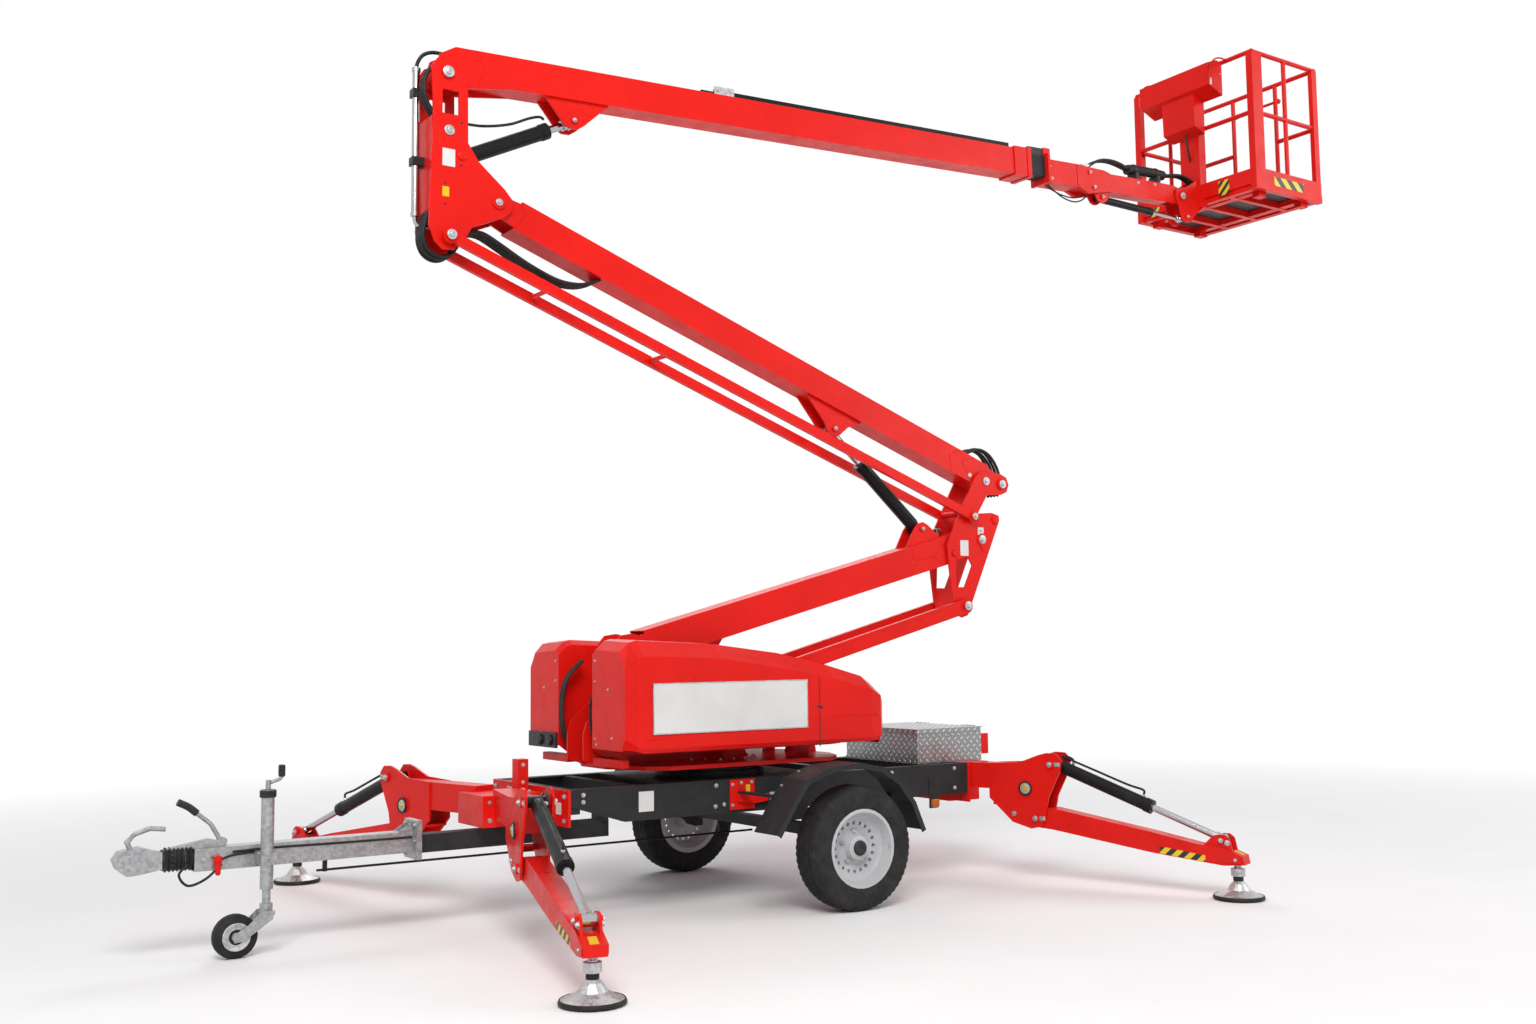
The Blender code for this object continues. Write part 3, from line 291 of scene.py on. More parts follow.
def lens(name, colour):
    """A moulded lamp lens with fine prisms."""
    g = Graph(name, colour, 0.0, 0.12)
    g.surface({"Transmission Weight": 0.35, "Coat Weight": 0.8})
    prisms = g.cells(420.0)
    # Prism centres are painted lighter and their edges darker: painted highlight and painted shade on the
    # prisms.
    g.colour(g.mix(g.remap(prisms.outputs["Distance"], 0.0, 0.6), shade(colour, 1.1), shade(colour, 0.72)))
    g.bump(prisms.outputs["Distance"], 0.3, 0.0008)
    return g.material


def expanded_mesh(name, colour):
    """The dark expanded-metal floor: diamond strands over gaps painted near-black as painted shade."""
    g = Graph(name, colour, 0.5, 0.5)
    x, y = g.split(g.place)[:2]
    across, down = g.times(x, 55.0), g.times(y, 26.0)
    strands = []
    for way in ("ADD", "SUBTRACT"):
        edge = g.math("ABSOLUTE", g.math("SUBTRACT", g.math("FRACT", g.math(way, across, down)), 0.5))
        strands.append(g.remap(edge, 0.3, 0.38))
    strand = g.math("MAXIMUM", *strands)
    # The gaps between the strands are painted near-black: painted shade where the floor is open.
    g.colour(g.mix(strand, (0.006, 0.006, 0.006), shade(colour, 1.3)))
    g.roughness(g.remap(g.noise(40.0), 0.3, 0.7, 0.35, 0.65))
    g.bump(strand, 0.9, 0.003)
    return g.material


RED = painted("red_paint", (0.74, 0.01, 0.006), 0.34, 0.03, coat=0.06)
GREY = painted("dark_grey_paint", (0.024, 0.025, 0.028), 0.48, 0.1)
BLACK = painted("black_paint", (0.009, 0.009, 0.01), 0.34, 0.08)
ZINC = galvanised("galvanised_steel", (0.4, 0.41, 0.42))
BRIGHT = galvanised("zinc_plate", (0.5, 0.5, 0.51))
# The chrome's base colour is set darker than bright chrome: painted dark reflection.
CHROME = polished("chromed_rod", (0.46, 0.46, 0.48))
SILVER = painted("wheel_silver", (0.52, 0.53, 0.55), 0.34, 0.3)
PLATE = chequer("chequer_plate", (0.46, 0.47, 0.48))
TYRE = soft_black("tyre_rubber", (0.016, 0.016, 0.016), 0.8, 180.0, 0.001)
RUBBER = soft_black("hose_rubber", (0.012, 0.012, 0.012), 0.55)
PLASTIC = soft_black("black_plastic", (0.016, 0.016, 0.017), 0.42)
MESH = expanded_mesh("floor_mesh", (0.1, 0.1, 0.11))
WHITE = painted("label_white", (0.72, 0.72, 0.71), 0.38, 0.1)
YELLOW = painted("label_yellow", (0.78, 0.5, 0.02), 0.4, 0.1)
STRIPES_Y = striped("warning_stripes", 1, 0.075)
AMBER = lens("amber_lens", (0.85, 0.24, 0.01))
CLEAR = lens("clear_lens", (0.72, 0.74, 0.76))
WARM = lens("warm_lens", (0.86, 0.66, 0.05))
STRIPES_X = striped("board_stripes", 0, 0.13)
RED_LENS = lens("red_lens", (0.55, 0.01, 0.01))


def at(x, y, z):
    """A point measured from the axle, in the frame."""
    return Vector((x + AXLE_X, y, z))


def span(side, a, b):
    """The Y values of a slab on one side, lowest first."""
    return sorted((side * a, side * b))


def level(y, pairs):
    """Points that all lie at one Y."""
    return [(x, y, z) for x, z in pairs]


def circle(centre, across, other, radius, sides):
    """Points round a centre, in the plane of two unit vectors."""
    angles = [2 * math.pi * i / sides for i in range(sides)]
    return [centre + radius * (math.cos(angle) * across + math.sin(angle) * other) for angle in angles]


def dress(node, material, bevel):
    """The finish and softened edges of a CAD node."""
    obj = NODES[node]
    obj.data.materials.clear()
    obj.data.materials.append(material)
    soften(obj, bevel)


def soften(obj, bevel):
    """Rounded edges, with smooth shading between them."""
    angle = math.radians(32.0)
    if bevel:
        edge = obj.modifiers.new("edges", "BEVEL")
        edge.width = bevel
        edge.segments = 2
        edge.limit_method = "ANGLE"
        edge.angle_limit = angle
        edge.use_clamp_overlap = True
    for polygon in obj.data.polygons:
        polygon.use_smooth = True
    view = bpy.context.view_layer
    view.objects.active = obj
    for other in view.objects:
        other.select_set(other is obj)
    bpy.ops.object.shade_smooth_by_angle(angle=angle)


FINISHES = (
    (RED, 0.002, "front_frame rear_frame turret_frame cover_near cover_far lower_boom lower_link knuckle"),
    (RED, 0.002, "mid_boom mid_rods mast upper_boom nose_arm cage console cage_bar"),
    (GREY, 0.0015, "chassis mudguard_near mudguard_far telescope"),
    (BLACK, 0.0015, "axle slew_ring cable_tray lower_barrel mid_barrel upper_barrel level_barrel"),
    (ZINC, 0.0012, "drawbar coupling jockey_tube jockey_leg jockey_fork"),
    (CHROME, 0.001, "lower_rod mid_rod upper_rod level_rod"),
    (SILVER, 0.0015, "rim_near rim_far"),
    (PLATE, 0.0015, "toolbox toolbox_lid"),
    (TYRE, 0.002, "tyre_near tyre_far jockey_wheel"),
    (MESH, 0.0, "cage_floor"),
)
for finish, width, names in FINISHES:
    for name in names.split():
        dress(name, finish, width)
for leg in LEGS:
    dress("arm_" + leg, RED, 0.002)
    dress("pad_" + leg, BRIGHT, 0.0015)
    dress("arm_barrel_" + leg, BLACK, 0.0015)
    dress("arm_rod_" + leg, CHROME, 0.001)


# Small pieces


class Kit:
    """Small shapes of one finish that ride together on one body; x is measured from the axle."""

    def __init__(self, name, body, finish, matrix=None):
        self.name, self.body, self.finish = name, body, finish
        self.matrix = Matrix.Translation((AXLE_X, 0, 0)) @ (matrix or Matrix.Identity(4))
        self.work = bmesh.new()

    def loft(self, rings, capped=True):
        """A skin over rings of points, closed by end caps or back to its first ring."""
        made = [[self.work.verts.new(self.matrix @ Vector(point)) for point in ring] for ring in rings]
        count = len(made[0])
        pairs = list(zip(made, made[1:]))
        if not capped:
            pairs.append((made[-1], made[0]))
        for a, b in pairs:
            for j in range(count):
                k = (j + 1) % count
                self.work.faces.new((a[j], a[k], b[k], b[j]))
        if capped:
            self.work.faces.new(made[0][::-1])
            self.work.faces.new(made[-1])
        return self

    def box(self, x0, x1, y0, y1, z0, z1):
        return self.loft([[(x0, y, z0), (x1, y, z0), (x1, y, z1), (x0, y, z1)] for y in (y0, y1)])

    def prism(self, outline, lo, hi):
        """An (x, z) outline between two Y values."""
        return self.loft([level(y, outline) for y in (lo, hi)])

    def lathe(self, stations, start, direction, sides=24):
        """A turned solid from (offset, radius) stations along a direction."""
        axis = Vector(direction).normalized()
        rings = [ring_at(Vector(start) + axis * offset, axis, radius, sides) for offset, radius in stations]
        return self.loft(rings)

    def rod(self, a, b, radius, sides=16):
        way = Vector(b) - Vector(a)
        return self.lathe([(0, radius), (way.length, radius)], a, way, sides)

    def ring(self, profile, start, direction, sides=32):
        """A closed (radius, offset) outline turned round an axis."""
        axis = Vector(direction).normalized()
        across = axis.orthogonal().normalized()
        spokes = circle(Vector(), across, axis.cross(across), 1.0, sides)
        rings = [[Vector(start) + out * r + axis * offset for r, offset in profile] for out in spokes]
        return self.loft(rings, capped=False)

    def pin(self, point, y, radius):
        """A washer, nut and bolt end on both sides of a pivot."""
        washer = [(0, radius), (0.006, radius), (0.0085, radius * 0.86)]
        nut = [(0.007, radius * 0.56), (0.015, radius * 0.56), (0.0165, radius * 0.47)]
        end = [(0.015, radius * 0.27), (0.019, radius * 0.24)]
        for stations, count in ((washer, 28), (nut, 6), (end, 14)):
            self.discs(stations, [point], y, count)
        return self

    def bead(self, points, y, radius=0.0024):
        """A thin weld run on both side faces of a boom or plate."""
        for side in BOTH:
            for (x0, z0), (x1, z1) in zip(points, points[1:]):
                self.rod((x0, side * y, z0), (x1, side * y, z1), radius, 6)
        return self

    def ball(self, point, radius):
        rings = 8
        angles = [math.pi * (0.06 + 0.88 * i / rings) for i in range(rings + 1)]
        stations = [(-radius * math.cos(angle), radius * math.sin(angle)) for angle in angles]
        return self.lathe(stations, point, UP, 16)

    def slab(self, x0, x1, z0, z1, y0, y1, sides=BOTH):
        """A box on the side faces, between two distances from the middle plane."""
        for side in sides:
            self.box(x0, x1, *span(side, y0, y1), z0, z1)
        return self

    def plate(self, x0, x1, z0, z1, y, sides=BOTH):
        """A thin sticker on the side faces."""
        return self.slab(x0, x1, z0, z1, y, y + 0.0008, sides)

    def panel(self, outline, y0, y1, sides=BOTH):
        """An (x, z) outline on the side faces, between two distances from the middle plane."""
        for side in sides:
            self.prism(outline, *span(side, y0, y1))
        return self

    def discs(self, stations, places, y, count, sides=BOTH):
        """A turned form at each (x, z) place of the side faces."""
        for side in sides:
            for x, z in places:
                self.lathe(stations, (x, side * y, z), (0, side, 0), count)
        return self

    def bolts(self, places, y, radius, sides=BOTH):
        """A bolt at each (x, z) place of the side faces."""
        for side in sides:
            for x, z in places:
                self.bolt((x, side * y, z), (0, side, 0), radius)
        return self

    def bolt(self, point, direction, radius):
        """A hexagon head on a washer, with the thread's end showing."""
        washer = [(0, radius * 1.35), (radius * 0.22, radius * 1.35)]
        head = [(radius * 0.2, radius), (radius * 0.9, radius), (radius, radius * 0.82)]
        end = [(radius * 0.9, radius * 0.5), (radius * 1.25, radius * 0.45)]
        for stations, sides in ((washer, 18), (head, 6), (end, 12)):
            self.lathe(stations, point, direction, sides)
        return self

    def hose(self, knots, radius, sides=12, steps=8):
        """A tube on a smooth curve through the knots."""
        path = smooth_path(knots, steps)
        rings = []
        across = None
        for i, point in enumerate(path):
            way = (path[min(i + 1, len(path) - 1)] - path[max(i - 1, 0)]).normalized()
            if across is None:
                across = way.orthogonal().normalized()
            across = (across - way * across.dot(way)).normalized()
            rings.append(circle(point, across, way.cross(across), radius, sides))
        return self.loft(rings)

    def done(self, bevel, replaced=(), bend=None):
        """Makes the piece on its body; when bend is given, it stays in place on no body and is not bent."""
        bmesh.ops.recalc_face_normals(self.work, faces=self.work.faces)
        mesh = bpy.data.meshes.new(self.name)
        self.work.to_mesh(mesh)
        self.work.free()
        mesh.materials.append(self.finish)
        obj = bpy.data.objects.new(self.name, mesh)
        bpy.context.scene.collection.objects.link(obj)
        soften(obj, bevel)
        if bend:
            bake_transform(obj)
        else:
            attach(obj, self.body)
        if replaced:
            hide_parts(*replaced)
        return obj


def ring_at(centre, axis, radius, sides):
    """A ring of points square to an axis."""
    across = Vector((1, 0, 0)) if abs(axis.x) < 0.9 else Vector(UP)
    across = (across - axis * across.dot(axis)).normalized()
    return circle(centre, across, axis.cross(across), radius, sides)


def smooth_path(knots, steps):
    """Points of a Catmull-Rom curve through the knots."""
    knots = [Vector(knot) for knot in knots]
    points = [knots[0] * 2 - knots[1]] + knots + [knots[-1] * 2 - knots[-2]]
    path = []
    for a, b, c, d in zip(points, points[1:], points[2:], points[3:]):
        for i in range(steps):
            t = i / steps
            path.append(0.5 * (2 * b + (c - a) * t + (2 * a - 5 * b + 4 * c - d) * t * t
                               + (3 * b - a - 3 * c + d) * t * t * t))
    return path + [knots[-1]]


def turned(x, z, place):
    """The matrix with local X and Z on two unit vectors."""
    return Matrix.Translation(place) @ Matrix((x, z.cross(x), z)).transposed().to_4x4()


def along(start, end):
    """The matrix that puts local X on a line in the boom plane, with local Z on its upper side."""
    x = Vector((end[0] - start[0], 0, end[1] - start[1])).normalized()
    z = Vector((-x.z, 0, x.x))
    if z.z < 0:
        z.negate()
    return turned(x, z, (start[0], 0, start[1]))


# X and Z of the pins at the ends of the booms and of the lower link.
LOWER_ROOT, LOWER_TIP = (-0.92, 1.37), (1.684, 2.071)
LINK_ROOT, LINK_TIP = (-1.093, 0.938), (1.511, 1.639)
MID_ROOT, MID_TIP = (1.868, 2.441), (-1.703, 3.766)
UPPER_ROOT = (-1.993, 4.422)
UPPER_ANGLE = math.radians(2.7)
UPPER = along(UPPER_ROOT, (UPPER_ROOT[0] + math.cos(UPPER_ANGLE), UPPER_ROOT[1] + math.sin(UPPER_ANGLE)))
LOWER = along(LOWER_ROOT, LOWER_TIP)
MID = along(MID_ROOT, MID_TIP)
LINK = along(LINK_ROOT, LINK_TIP)

# At each end, the arm pivots' X and distance from the middle plane, and the legs' splay in degrees.
LEG_PLACES = {"front": (-1.829, 0.808, 13.5), "rear": (1.439, 0.826, 20.0)}


def leg_matrix(name):
    """Local X runs outward along the leg, from the arm pivot's plan point."""
    end, side_name = name.split("_")
    pivot_x, pivot_y, splay = LEG_PLACES[end]
    side = -1 if side_name == "near" else 1
    angle = math.radians(splay)
    x = Vector((math.copysign(math.sin(angle), pivot_x), side * math.cos(angle), 0))
    return turned(x, Vector(UP), (pivot_x, side * pivot_y, 0))


def make_tyre(side, name):
    """The road tyre with its grooves, shoulder cuts and sidewall rings, in place of the plain solid."""
    steps = 168
    groove_step, cut_depth, cut_points = 3, 0.0045, (9, 10, 11)
    # Radius and offset, from the bead up to the middle of the tread.
    profile = [
        (0.2003, -0.08), (0.2075, -0.0845), (0.222, -0.0885), (0.229, -0.088), (0.244, -0.092),
        (0.262, -0.0945), (0.266, -0.0935), (0.285, -0.095), (0.3, -0.092), (0.312, -0.086),
        (0.322, -0.076), (0.3262, -0.064), (0.3262, -0.046), (0.3185, -0.044), (0.3185, -0.038),
        (0.3268, -0.036), (0.327, -0.017), (0.319, -0.015), (0.319, -0.009), (0.327, -0.007),
    ]
    profile = profile + [(r, -a) for r, a in profile[::-1]]
    rings = []
    for i in range(steps):
        angle = 2 * math.pi * i / steps
        ring = []
        for j, (r, a) in enumerate(profile):
            if i % groove_step == 0 and min(j, len(profile) - 1 - j) in cut_points:
                r -= cut_depth
            ring.append((r * math.cos(angle), side * WHEEL_Y + a, WHEEL_Z + r * math.sin(angle)))
        rings.append(ring)
    Kit("tread_" + name, "wheel_" + name, TYRE).loft(rings, capped=False).done(0, ("tyre_" + name,))


def dress_wheel(side, name):
    """The tyre, wheel nuts, valve and hub cap."""
    make_tyre(side, name)
    count, reach, here = 5, 0.082, (side,)
    angles = [2 * math.pi * (i + 0.25) / count for i in range(count)]
    places = [(reach * math.cos(angle), WHEEL_Z + reach * math.sin(angle)) for angle in angles]
    nuts = Kit("wheel_nuts_" + name, "wheel_" + name, BRIGHT).bolts(places, 0.89, 0.0105, here)
    nuts.rod((0.19, side * 0.955, WHEEL_Z), (0.172, side * 0.975, WHEEL_Z), 0.0035, 8).done(0.0005)
    dome = [(0.0, 0.04), (0.01, 0.04), (0.016, 0.033), (0.018, 0.02), (0.015, 0.012)]
    cap = Kit("hub_cap_" + name, "wheel_" + name, PLASTIC)
    cap.discs(dome, [(0, WHEEL_Z)], 0.9405, 28, here).done(0.0008)


def dress_chassis_side(side, name):
    """The bolts, lamp bracket, marker lamp and labels on one side of the chassis."""
    here = (side,)
    on_frame = ((-0.585, 0.655), (-0.59, 0.545), (-0.535, 0.552), (-1.38, 0.655), (-1.38, 0.62),
                (1.1, 0.655), (1.1, 0.54), (0.62, 0.655))
    on_bracket = ((-0.487, 0.655), (-0.487, 0.545), (-0.43, 0.662), (-0.365, 0.662))
    bolts = Kit("chassis_bolts_" + name, "base", BRIGHT).bolts(on_frame, CHASSIS_FACE, 0.009, here)
    bolts.bolts(on_bracket, BRACKET_FACE, 0.007, here).done(0.0004)
    arm = [(-0.462, 0.602), (-0.43, 0.612), (-0.345, 0.59), (-0.25, 0.6), (-0.25, 0.56),
           (-0.35, 0.548), (-0.44, 0.56)]
    bracket = Kit("lamp_bracket_" + name, "base", RED).panel(arm, 0.47, 0.476, here)
    bracket.slab(-0.502, -0.345, 0.52, 0.68, 0.4506, 0.46, here)
    bracket.slab(-0.458, -0.436, 0.562, 0.606, 0.458, 0.475, here).done(0.001)
    cover = Kit("marker_lamp_" + name, "base", CLEAR)
    cover.slab(-0.262, -0.14, 0.556, 0.604, 0.4765, 0.497, here).done(0.006)
    base = Kit("marker_lamp_base_" + name, "base", PLASTIC)
    base.slab(-0.268, -0.134, 0.55, 0.61, 0.469, 0.478, here).done(0.003)
    dome = [(0.0, 0.014), (0.004, 0.014), (0.007, 0.009)]
    for x, finish, tag in ((-0.222, RED_LENS, "red"), (-0.185, AMBER, "amber")):
        bulb = Kit("marker_" + tag + "_" + name, "base", finish)
        bulb.discs(dome, [(x, 0.58)], 0.4965, 20, here).done(0.0008)
    label = Kit("chassis_label_" + name, "base", WHITE)
    label.slab(-1.06, -0.97, 0.548, 0.652, CHASSIS_FACE, 0.4512, here).done(0.0003)
    label = Kit("bracket_label_" + name, "base", YELLOW)
    label.slab(-0.402, -0.374, 0.6, 0.65, 0.4602, 0.461, here).done(0.0003)


def dress_mudguard(side, name):
    """The bolts of one mudguard."""
    bolts = Kit("mudguard_fixings_" + name, "base", BRIGHT)
    for x, z, way in ((-0.4, 0.668, (-0.78, 0, 0.62)), (-0.29, 0.735, (-0.32, 0, 0.95)),
                      (0.2, 0.705, (0.53, 0, 0.85))):
        bolts.bolt((x, side * 0.8, z), way, 0.007)
    bolts.done(0.0004)


def dress_cover(side, name):
    """The blank sign with its rim, the seams and the screws of one turret cover."""
    here = (side,)
    sign = Kit("blank_sign_" + name, "turret", WHITE)
    sign.slab(-1.06, -0.1, 0.957, 1.207, COVER_FACE, 0.6195, here).done(0.0008)
    rim = Kit("sign_rim_" + name, "turret", BRIGHT)
    for edges in ((-1.066, -0.094, 0.951, 0.957), (-1.066, -0.094, 1.207, 1.213),
                  (-1.066, -1.06, 0.956, 1.208), (-0.1, -0.094, 0.956, 1.208)):
        rim.slab(*edges, COVER_FACE, 0.62, here)
    rim.done(0.0006)
    latch = [(-0.03, 1.06), (0.006, 1.052), (0.01, 1.062), (-0.026, 1.07)]
    seam = Kit("cover_seam_" + name, "turret", PLASTIC).panel(latch, 0.615, 0.619, here)
    seam.slab(-0.014, -0.009, 0.845, 1.225, 0.6145, 0.6172, here).done(0)
    screws = Kit("cover_screws_" + name, "turret", BRIGHT)
    for y, z in ((0.235, 1.33), (0.235, 1.22), (0.235, 0.92), (0.38, 1.18), (0.42, 0.93), (0.25, 0.89)):
        screws.bolt((-1.1995, side * y, z), (-1, 0, 0), 0.006)
    screws.done(0.0004)
    front = [(-1.105, 0.922), (-0.96, 0.93), (-0.96, 0.934), (-1.105, 0.926)]
    rear = [(-0.02, 1.005), (0.4, 1.008), (0.4, 1.013), (-0.02, 1.01)]
    crease = Kit("cover_crease_" + name, "turret", RED)
    crease.panel(front, 0.611, 0.615, here).panel(rear, 0.612, 0.6172, here).done(0.0015)


def dress_turret():
    """The socket panel, the channel under the covers, the hoses between them and the slew bolts."""
    panel = Kit("socket_panel", "turret", PLASTIC).box(-1.212, -1.196, 0.215, 0.56, 0.85, 0.935)
    for y in (0.28, 0.4):
        panel.lathe([(0, 0.03), (0.012, 0.03), (0.016, 0.024)], (-1.212, y, 0.892), (-1, 0, 0), 20)
    panel.done(0.003)
    Kit("front_channel", "turret", RED).slab(-1.17, -1.12, 0.776, 0.818, 0.15, 0.46).done(0.002)
    hoses = Kit("turret_hoses", "turret", RUBBER)
    run = [(-1.1, 0.8), (-1.185, 0.9), (-1.215, 1.05), (-1.19, 1.22), (-1.09, 1.33)]
    for i in range(3):
        hoses.hose(level(0.15 - i * 0.016, run), 0.0075)
    run = [(-1.08, -0.14, 0.79), (-1.17, -0.15, 0.92), (-1.18, -0.15, 1.12), (-1.1, -0.14, 1.28)]
    hoses.hose(run, 0.007).done(0)
    slew_x, reach, count = -0.35, 0.26, 20
    ring = Kit("slew_bolts", "turret", BRIGHT)
    for angle in [2 * math.pi * i / count for i in range(count)]:
        ring.bolt((slew_x + reach * math.cos(angle), reach * math.sin(angle), 0.772), UP, 0.008)
    ring.done(0.0004)


def dress_leg(name):
    """Pins, lamps, stripes, pad rubber and hoses of one outrigger, in its own frame."""
    matrix = leg_matrix(name)
    arm, barrel = "arm_" + name, "barrel_" + name
    pad_x, lamp_x, lamp_z = 1.16, -0.06, 0.545
    pins = Kit("leg_pins_" + name, "base", BRIGHT, matrix).bolts([(-0.14, 0.395)], 0.0705, 0.011)
    for d, z in ((0.0, 0.375), (0.1, 0.69)):
        pins.slab(d + 0.02, d + 0.062, z - 0.012, z + 0.012, 0.0705, 0.0745)
        pins.bolts([(d, z)], 0.082, 0.012).bolts([(d + 0.05, z)], 0.0745, 0.0055)
    pins.done(0.0005)
    glass = [(0, 0.033), (0.006, 0.033), (0.011, 0.024), (0.012, 0.018)]
    bulb = [(0, 0.019), (0.004, 0.017), (0.006, 0.009)]
    rim = [(0.033, 0), (0.042, 0), (0.042, 0.008), (0.035, 0.01)]
    lamp = [(lamp_x, lamp_z)]
    Kit("leg_lamp_" + name, "base", CLEAR, matrix).discs(glass, lamp, 0.0755, 28).done(0.0012)
    Kit("leg_lamp_bulb_" + name, "base", WARM, matrix).discs(bulb, lamp, 0.087, 24).done(0.0008)
    bezel = Kit("leg_lamp_bezel_" + name, "base", PLASTIC, matrix)
    for side in BOTH:
        bezel.ring(rim, (lamp_x, side * 0.0757, lamp_z), (0, side, 0), 28)
    bezel.done(0.0008)
    tip = Kit("leg_tip_pins_" + name, arm, BRIGHT, matrix).bolts([(1.09, 0.315)], 0.058, 0.01)
    tip.bolts([(1.165, 0.215)], 0.0562, 0.007).bolts([(1.122, 0.303)], 0.0462, 0.012).done(0.0004)
    label = [(1.148, 0.259), (1.198, 0.2382), (1.1985, 0.2394), (1.1485, 0.2602)]
    Kit("leg_label_" + name, arm, YELLOW, matrix).prism(label, -0.019, 0.019).done(0.0003)
    band = [(0.74, 0.2215), (1.0, 0.1925), (1.0, 0.228), (0.74, 0.261)]
    Kit("leg_stripes_" + name, arm, STRIPES_Y, matrix).panel(band, 0.0502, 0.0508).done(0)
    foot = [(0.1, 0.0004), (0.127, 0.0004), (0.1375, 0.009), (0.1375, 0.014), (0.1325, 0.024),
            (0.128, 0.0245), (0.128, 0.01)]
    collar = [(0.0245, 0.0), (0.0275, 0.0), (0.0275, 0.024), (0.0245, 0.024)]
    rubber = Kit("pad_rubber_" + name, arm, RUBBER, matrix).ring(foot, (pad_x, 0, 0), UP, 48)
    rubber.ring(collar, (pad_x, 0, 0.1), UP, 28).done(0.001)
    ridges = [(0.003 * i, 0.0212 if i % 2 else 0.0203) for i in range(6)]
    Kit("pad_thread_" + name, arm, CHROME, matrix).lathe(ridges, (pad_x, 0, 0.1655), UP).done(0)
    way = Vector((0.99, 0, -0.375)).normalized()
    lift = Vector((-way.z, 0, way.x))

    def on_barrel(s, height, y=0.0):
        """A point beside the cylinder's barrel, s along it from its pin."""
        return Vector((0.1, 0, 0.69)) + way * s + lift * height + Vector((0, y, 0))

    long_run = [(0.56, 0.048), (0.545, 0.07), (0.45, 0.062), (0.25, 0.06), (0.08, 0.058), (0.02, 0.052, 0.02)]
    short_run = [(0.1, 0.036, 0.02), (0.08, 0.06, 0.03), (0.02, 0.058, 0.035)]
    hoses = Kit("leg_hose_" + name, barrel, RUBBER, matrix)
    for run in (long_run, short_run):
        hoses.hose([on_barrel(*place) for place in run], 0.0065)
    hoses.done(0)
    unions = Kit("leg_unions_" + name, barrel, BRIGHT, matrix)
    for s, y in ((0.56, 0.0), (0.1, 0.02)):
        unions.lathe([(0, 0.01), (0.012, 0.01), (0.014, 0.008)], on_barrel(s, 0.034, y), lift, 6)
    unions.done(0.0004)


def dress_drawbar():
    """Bolts, grips, boot, cables and plug of the drawbar."""
    bolts = Kit("flange_bolts", "base", BRIGHT)
    for y in (-0.068, 0.068):
        for z in (0.378, 0.452, 0.528):
            bolts.bolt((-2.118, y, z), (-1, 0, 0), 0.01)
    bolts.bolts([(-3.06, 0.445), (-3.13, 0.445)], 0.0502, 0.008)
    bolts.bolts([(-2.87, 0.437)], 0.186, 0.01, NEAR).done(0.0005)
    grip = [(-3.145, 0.03, 0.65), (-3.184, 0.03, 0.682), (-3.232, 0.03, 0.707)]
    Kit("brake_grip", "base", PLASTIC).hose(grip, 0.017, 16).done(0.001)
    folds = [(0.0, 0.05)]
    for i in range(7):
        folds += [(0.01 + i * 0.018, 0.0575), (0.019 + i * 0.018, 0.048)]
    boot = Kit("coupling_boot", "base", RUBBER)
    boot.lathe(folds + [(0.138, 0.046)], (-3.172, 0, 0.452), (-1, 0, 0), 28).done(0.001)
    cables = Kit("coupling_cables", "base", RUBBER)
    cables.hose([(-3.05, -0.052, 0.42), (-3.12, -0.066, 0.36), (-3.2, -0.068, 0.335),
                 (-3.24, -0.06, 0.385), (-3.2, -0.052, 0.43)], 0.006)
    cables.hose([(-3.0, -0.053, 0.47), (-2.8, -0.054, 0.474), (-2.5, -0.054, 0.47),
                 (-2.13, -0.056, 0.468)], 0.0055)
    cables.hose([(-3.05, -0.053, 0.44), (-3.0, -0.056, 0.455), (-2.9, -0.054, 0.462)], 0.0055)
    cables.done(0)
    body = [(0, 0.008), (0.006, 0.018), (0.03, 0.02), (0.036, 0.015), (0.085, 0.012), (0.092, 0.007)]
    plug = Kit("plug_holder", "base", RED).lathe(body, (-3.072, -0.072, 0.462), (0.02, 0, -1), 20)
    plug.box(-3.082, -3.06, -0.075, -0.0503, 0.418, 0.436).done(0.001)


def dress_jockey():
    """The jockey wheel's hub, knob and collar."""
    face = [(-0.004, 0.063), (0.0015, 0.064), (0.003, 0.059), (0.001, 0.054), (-0.001, 0.022), (0.004, 0.019)]
    hub = Kit("jockey_hub", "jockey_wheel", BRIGHT)
    for side in BOTH:
        hub.lathe(face, (-3.01, JOCKEY_Y + side * 0.0352, 0.1), (0, side, 0), 32)
    hub.done(0.0004)
    grip = [(0, 0.012), (0.006, 0.016), (0.05, 0.016), (0.056, 0.012)]
    Kit("jockey_knob", "base", PLASTIC).lathe(grip, (-2.808, JOCKEY_Y, 0.812), UP, 20).done(0.001)
    band = [(0, 0.0365), (0.004, 0.038), (0.03, 0.038), (0.036, 0.034)]
    Kit("jockey_collar", "base", PLASTIC).lathe(band, (-2.87, JOCKEY_Y, 0.72), UP).done(0.001)


def free_hose(name, body, knots, radius, bend=None, steps=4):
    """A hose that lies free between two fixed ends."""
    hose = Kit(name, body, RUBBER).hose(knots, radius, 12, 2 * steps).done(0, bend=bend)


